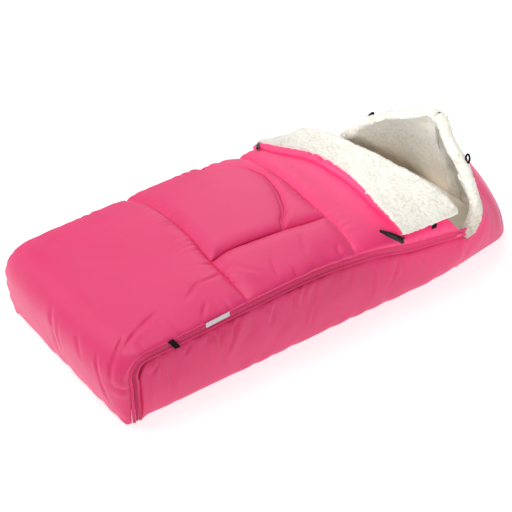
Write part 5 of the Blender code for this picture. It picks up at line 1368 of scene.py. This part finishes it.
# Braided polyester, dyed black: dull, with small plaits 1.4 mm across.
braid, tree, shader = finish_named("braided_cord_black", {"Roughness": 0.85, "Specular IOR Level": 0.15})
place = add(tree, "ShaderNodeTexCoord")
plait = add(tree, "ShaderNodeTexVoronoi", {"Vector": place.outputs["Object"], "Scale": 700.0})
tones = {"Factor": plait.outputs["Distance"], "A": linear("#0C0C0E"), "B": linear("#040405")}
shade = add(tree, "ShaderNodeMix", tones, data_type="RGBA")
tree.links.new(shade.outputs["Result"], shader.inputs["Base Color"])
plait_bump = add(tree, "ShaderNodeBump", {"Height": plait.outputs["Distance"], "Strength": 0.5, "Distance": 0.0004})
tree.links.new(plait_bump.outputs["Normal"], shader.inputs["Normal"])
CORD_RADIUS, CHANNEL_BORE = 0.0016, 0.0021
CHANNEL_FIRST, CHANNEL_LAST = {"near": 0.185, "far": 1 / 11}, 10 / 11


def tube_between(name, sections, material, closed=False):
    """A closed body through rings of points; the ends are shut with a ring drawn to their middle."""
    sections = np.asarray(sections, float)
    if not closed:
        caps = []
        for end in (sections[0], sections[-1]):
            middle = end.mean(0)
            caps.append(middle + (end - middle) * 0.02)
        sections = np.concatenate([caps[0][None], sections, caps[1][None]])
    count, sides = sections.shape[:2]
    index = np.arange(count * sides).reshape(count, sides)
    ahead = np.roll(index, -1, 0) if closed else index[1:]
    here = index if closed else index[:-1]
    quads = [band_between(here, ahead)]
    if not closed:
        for end, way in ((index[0], -1), (index[-1], 1)):
            half = sides // 2
            for k in range(half - 1):
                quad = [end[k], end[k + 1], end[sides - 2 - k], end[sides - 1 - k]]
                quads.append(np.array([quad[::way]]))
    return piece_from(name, sections.reshape(-1, 3), np.concatenate(quads), material)


CROSSWISE = (0.12, 0.31, 0.94)  # a way that no cord or channel runs along, to start each ring from


def circles(line, radius, sides, closed=False):
    """Rings of points round a line."""
    line = np.asarray(line, float)
    ahead = np.roll(line, -1, 0) - np.roll(line, 1, 0) if closed else np.gradient(line, axis=0)
    ahead = unit(ahead)
    across_by = unit(np.cross(ahead, CROSSWISE))
    up_by = np.cross(across_by, ahead)
    turns = 2 * np.pi * np.arange(sides) / sides
    radius = np.broadcast_to(np.asarray(radius, float), (len(line),))[:, None, None]
    ring = np.cos(turns)[None, :, None] * across_by[:, None] + np.sin(turns)[None, :, None] * up_by[:, None]
    return line[:, None] + radius * ring


def pipe(name, outer, inner, material):
    """A tube with a bore, from rings of points outside and inside."""
    rows, sides = outer.shape[:2]
    index = np.arange(rows * sides).reshape(rows, sides)
    deep = index + rows * sides
    quads = [band_between(index[:-1], index[1:]), band_between(deep[:-1], deep[1:])[:, ::-1]]
    quads += [band_between(index[0], deep[0])[:, ::-1], band_between(index[-1], deep[-1])]
    points = np.concatenate([outer.reshape(-1, 3), inner.reshape(-1, 3)])
    return piece_from(name, points, np.concatenate(quads), material)


def channel_line(t, side):
    """The channel's middle line, above the shell's edge."""
    return edge_place(t, side, np.full_like(t, CHANNEL_DEPTH), np.full_like(t, CHANNEL_RADIUS + CHANNEL_STAND_OFF))


for name, side in SIDES.items():
    ts = np.linspace(CHANNEL_FIRST[name], CHANNEL_LAST, 160)
    line = channel_line(ts, side)
    outer = circles(line, CHANNEL_RADIUS - 0.0006 * drift(ts * 55, 0.5, 0, 191 + side), 16)
    inner = circles(line, CHANNEL_BORE, 16)
    channel = pipe(f"cord_channel_{name}", outer, inner, satin)
    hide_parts(f"hood_channel_{name}")
    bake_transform(channel)
PEAK = (HOOD_START + HOOD_LENGTH - HOOD_LEAN - CHANNEL_DEPTH, 0.0, HOOD_PEAK_Z + 0.007)
cord_ts, far_ts = (np.linspace(CHANNEL_FIRST[name] - 0.004, CHANNEL_LAST, 120) for name in SIDES)
along = np.linspace(-1, 1, 11)[:, None] * 0.5 + 0.5
first, last = channel_line(cord_ts, -1)[-1], channel_line(far_ts, 1)[-1]
over_peak = 2 * np.array(PEAK) - (first + last) / 2
arch = (1 - along) ** 2 * first + 2 * along * (1 - along) * over_peak + along**2 * last
cord_line = np.concatenate([channel_line(cord_ts, -1)[:-1], arch, channel_line(far_ts, 1)[:-1][::-1]])
cord = tube_between("hood_drawcord", circles(cord_line, CORD_RADIUS, 12), braid)
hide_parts("drawcord")
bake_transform(cord)

# Cord loops. The same cord, sewn on as a small loop outside each half of the hood's edge. The near one stands up
# and the far one leans out.
LOOP_RADIUS, LOOP_CORD = 0.0072, 0.0022
LOOPS = (("near", -1, 0.655, 0.3, 1.0), ("far", 1, 0.47, 1.0, 0.5))  # place along the edge, lean out and lean up
for name, side, t, lean_out, lean_up in LOOPS:
    middle = channel_line(np.array([t]), side)[0]
    along = unit(channel_line(np.array([t + 0.02]), side)[0] - channel_line(np.array([t - 0.02]), side)[0])
    away = unit(np.cross(along, (0.0, 0.0, 1.0)) * -side)
    out = unit(away * lean_out + np.array([0.0, 0.0, lean_up]))
    centre = middle + out * (CHANNEL_RADIUS + LOOP_RADIUS + LOOP_CORD + CLOTH_GAP)
    turns = np.linspace(0, 2 * np.pi, 48, endpoint=False)[:, None]
    line = centre + LOOP_RADIUS * (np.cos(turns) * out + np.sin(turns) * along)
    loop = tube_between(f"edge_loop_{name}", circles(line, LOOP_CORD, 10, closed=True), braid, closed=True)
    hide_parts(f"cord_loop_{name}")
    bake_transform(loop)

# Hood zip. The same coil and tape close the hood's back seam, from just above the base up to the peak. The tapes
# lie 6 mm inside the shell's corner and are sewn to both halves.
ZIP_DEPTH, HOOD_TOOTH_WIDTH = 0.006, 0.0026
ridge_foot = hood_floor(1.0, 1) * (1, 0, 1) - (ZIP_DEPTH, 0, 0)
ridge_top = hood_edge(1.0, 1) * (1, 0, 1) - (ZIP_DEPTH, 0, 0)
ridge_length = float(np.linalg.norm(ridge_top - ridge_foot))
ridge_up = (ridge_top - ridge_foot) / ridge_length
ridge_out = np.cross((0.0, 1.0, 0.0), ridge_up)
ZIP_FIRST, ZIP_LAST = 0.004, ridge_length - 0.006
for name, side in SIDES.items():
    share = np.linspace(0, 1, 13)
    steps = np.linspace(ZIP_FIRST, ZIP_LAST, 140)
    across_by = side * (TAPE_IN + (TAPE_OUT - TAPE_IN) * share)
    ridge = 0.0016 * np.sin(np.pi * share_of(share, 0.55)) + 0.0005 * np.sin(np.pi * share)
    flat = ridge_foot + ridge_up * steps[:, None, None] + np.array([0.0, 1.0, 0.0]) * across_by[None, :, None]
    outer = flat + ridge_out * (HALF_TAPE + ridge)[None, :, None]
    band = shell_between(f"hood_tape_{name}", outer, flat - ridge_out * HALF_TAPE, tape)
    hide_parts(f"hood_zip_{name}")
    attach(band, "hood")
    row = np.arange(ZIP_FIRST + 0.001, ZIP_LAST, TOOTH_PITCH)[:, None]
    places = ridge_foot + ridge_up * row + np.array([0.0, side * (ROW_IN + ROW_OUT) / 2, 0.0])
    lean = math.atan2(-ridge_up[2], ridge_up[0])
    turns = np.tile([math.pi / 2, lean + math.pi / 2, 0.0], (len(places), 1))
    tooth = (TOOTH_LENGTH, HOOD_TOOTH_WIDTH, TEETH_ROW)
    teeth = placed_parts(f"hood_coil_{name}", TEETH_TREE, places, turns, tooth, coil)
    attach(teeth, "hood")

# Ring pull. It hangs from the hood's slider at the peak. It is steel wire, bent round and butted and zinc-plated
# bright, and its solid has the right shape, so it only takes the plated finish.

# Zinc plate on steel: a pale metal whose gloss is slightly hazy and uneven.
plated, tree, shader = finish_named("zinc_plate", {"Metallic": 1.0})
place = add(tree, "ShaderNodeTexCoord")
haze = add(tree, "ShaderNodeTexNoise", {"Vector": place.outputs["Object"], "Scale": 260.0, "Detail": 2.0})
gloss = add(tree, "ShaderNodeMapRange", {"Value": haze.outputs["Fac"], "To Min": 0.22, "To Max": 0.42})
tones = {"Factor": haze.outputs["Fac"], "A": linear("#B9BABD"), "B": linear("#D3D4D6")}
shade = add(tree, "ShaderNodeMix", tones, data_type="RGBA")
tree.links.new(gloss.outputs["Result"], shader.inputs["Roughness"])
tree.links.new(shade.outputs["Result"], shader.inputs["Base Color"])
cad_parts["hood_ring_pull"].data.materials.clear()
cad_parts["hood_ring_pull"].data.materials.append(plated)

# Slot bindings. A harness passes through five slots in the base. Each is edged with the pink woven tape, turned
# over the rim of the slot and stitched down on the pile.
SLOTS = {
    "shoulder_near": (SHOULDER_SEAM_X, -0.055),
    "shoulder_far": (SHOULDER_SEAM_X, 0.055),
    "waist_near": (WAIST_SEAM_X, -0.12),
    "waist_far": (WAIST_SEAM_X, 0.12),
    "crotch": (WAIST_SEAM_X, 0.0),
}
SLOT_LENGTH, SLOT_WIDTH, BINDING, SLOT_CORNERS = 0.046, 0.011, 0.005, 0.35
# The tape's section: how far outside the slot's edge each corner lies, and its height.
BINDING_SECTION = (
    (0.0003, 0.0165),
    (0.0003, 0.0232),
    (0.0012, 0.0242),
    (BINDING, 0.0240),
    (BINDING + 0.0005, 0.0225),
    (0.0015, 0.0222),
    (0.0012, 0.0165),
)
for name, (x, y) in SLOTS.items():
    turns = np.linspace(0, 2 * np.pi, 96, endpoint=False)
    round_x, round_y = (np.sign(v) * np.abs(v) ** SLOT_CORNERS for v in (np.cos(turns), np.sin(turns)))
    rings = []
    for grow, z in BINDING_SECTION:
        ring_x, ring_y = x + round_x * (SLOT_WIDTH / 2 + grow), y + round_y * (SLOT_LENGTH / 2 + grow)
        rings.append(np.stack([ring_x, ring_y, 0 * turns + z], -1))
    binding = tube_between(f"slot_binding_{name}", np.array(rings).transpose(1, 0, 2), tape, closed=True)
    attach(binding, "root")

# Stage. A plain white floor that glows a little, so that it stays white and keeps only a faint shadow; broad soft
# lamps, two narrow ones into the hood, and the photo's viewpoint.
FLOOR_REACH, FLOOR_GLOW, SURROUND = 6, 0.72, 0.24
LAMP_SIZE, SPOT_SIZE = 1.8, 0.25
floor_mesh = bpy.data.meshes.new("floor")
corners = [(x * FLOOR_REACH, y * FLOOR_REACH, 0) for x, y in ((-1, -1), (1, -1), (1, 1), (-1, 1))]
floor_mesh.from_pydata(corners, [], [(0, 1, 2, 3)])
floor = in_scene("floor", floor_mesh)
paper, tree, shader = finish_named("white_table", {"Base Color": (0.55, 0.55, 0.55, 1.0), "Roughness": 0.9})
shader.inputs["Emission Color"].default_value = (1.0, 1.0, 1.0, 1.0)
shader.inputs["Emission Strength"].default_value = FLOOR_GLOW
floor_mesh.materials.append(paper)
world = bpy.data.worlds.new("white_surround")
world.use_nodes = True
world.node_tree.nodes["Background"].inputs["Color"].default_value = (1.0, 1.0, 1.0, 1.0)
world.node_tree.nodes["Background"].inputs["Strength"].default_value = SURROUND
bpy.context.scene.world = world
LAMPS = [  # name, kind, place, aim, power and a spot's cone in degrees
    ("key", "AREA", (-0.9, 0.7, 2.95), (0, 0, 0), 45.0, None),
    ("front", "AREA", (-1.0, -1.9, 1.7), (0, 0, 0), 9.0, None),
    ("back", "AREA", (1.4, 2.0, 1.8), (0, 0, 0), 18.0, None),
    ("left", "AREA", (-1.9, 1.7, 1.5), (0, 0, 0), 12.0, None),
    ("hood_spot", "SPOT", (-1.0, -2.0, 1.35), (0.455, 0.13, 0.18), 1050.0, 6.6),
    ("lining_spot", "SPOT", (-1.3, 1.5, 1.45), (0.43, -0.06, 0.17), 800.0, 5.2),
]
for name, kind, place, aim, power, cone in LAMPS:
    lamp = bpy.data.lights.new(name, kind)
    lamp.energy = power
    if kind == "AREA":
        lamp.shape, lamp.size = "DISK", LAMP_SIZE
    else:
        lamp.spot_size, lamp.spot_blend, lamp.shadow_soft_size = math.radians(cone), 1.0, SPOT_SIZE
    lamp_object = in_scene(name, lamp)
    lamp_object.location = place
    lamp_object.rotation_euler = (Vector(aim) - Vector(place)).to_track_quat("-Z", "Y").to_euler()
bpy.context.scene.view_settings.view_transform = "Standard"

CAMERA_PLACE, CAMERA_AIM, CAMERA_LENS = (-1.2375, -1.6591, 1.5693), (-0.0398, 0.0205, 0.05), 89.93
camera = in_scene("camera", bpy.data.cameras.new("camera"))
camera.data.lens = CAMERA_LENS
camera.location = CAMERA_PLACE
aim = Vector(CAMERA_AIM) - camera.location
camera.rotation_euler = aim.to_track_quat("-Z", "Y").to_euler()
bpy.context.scene.camera = camera
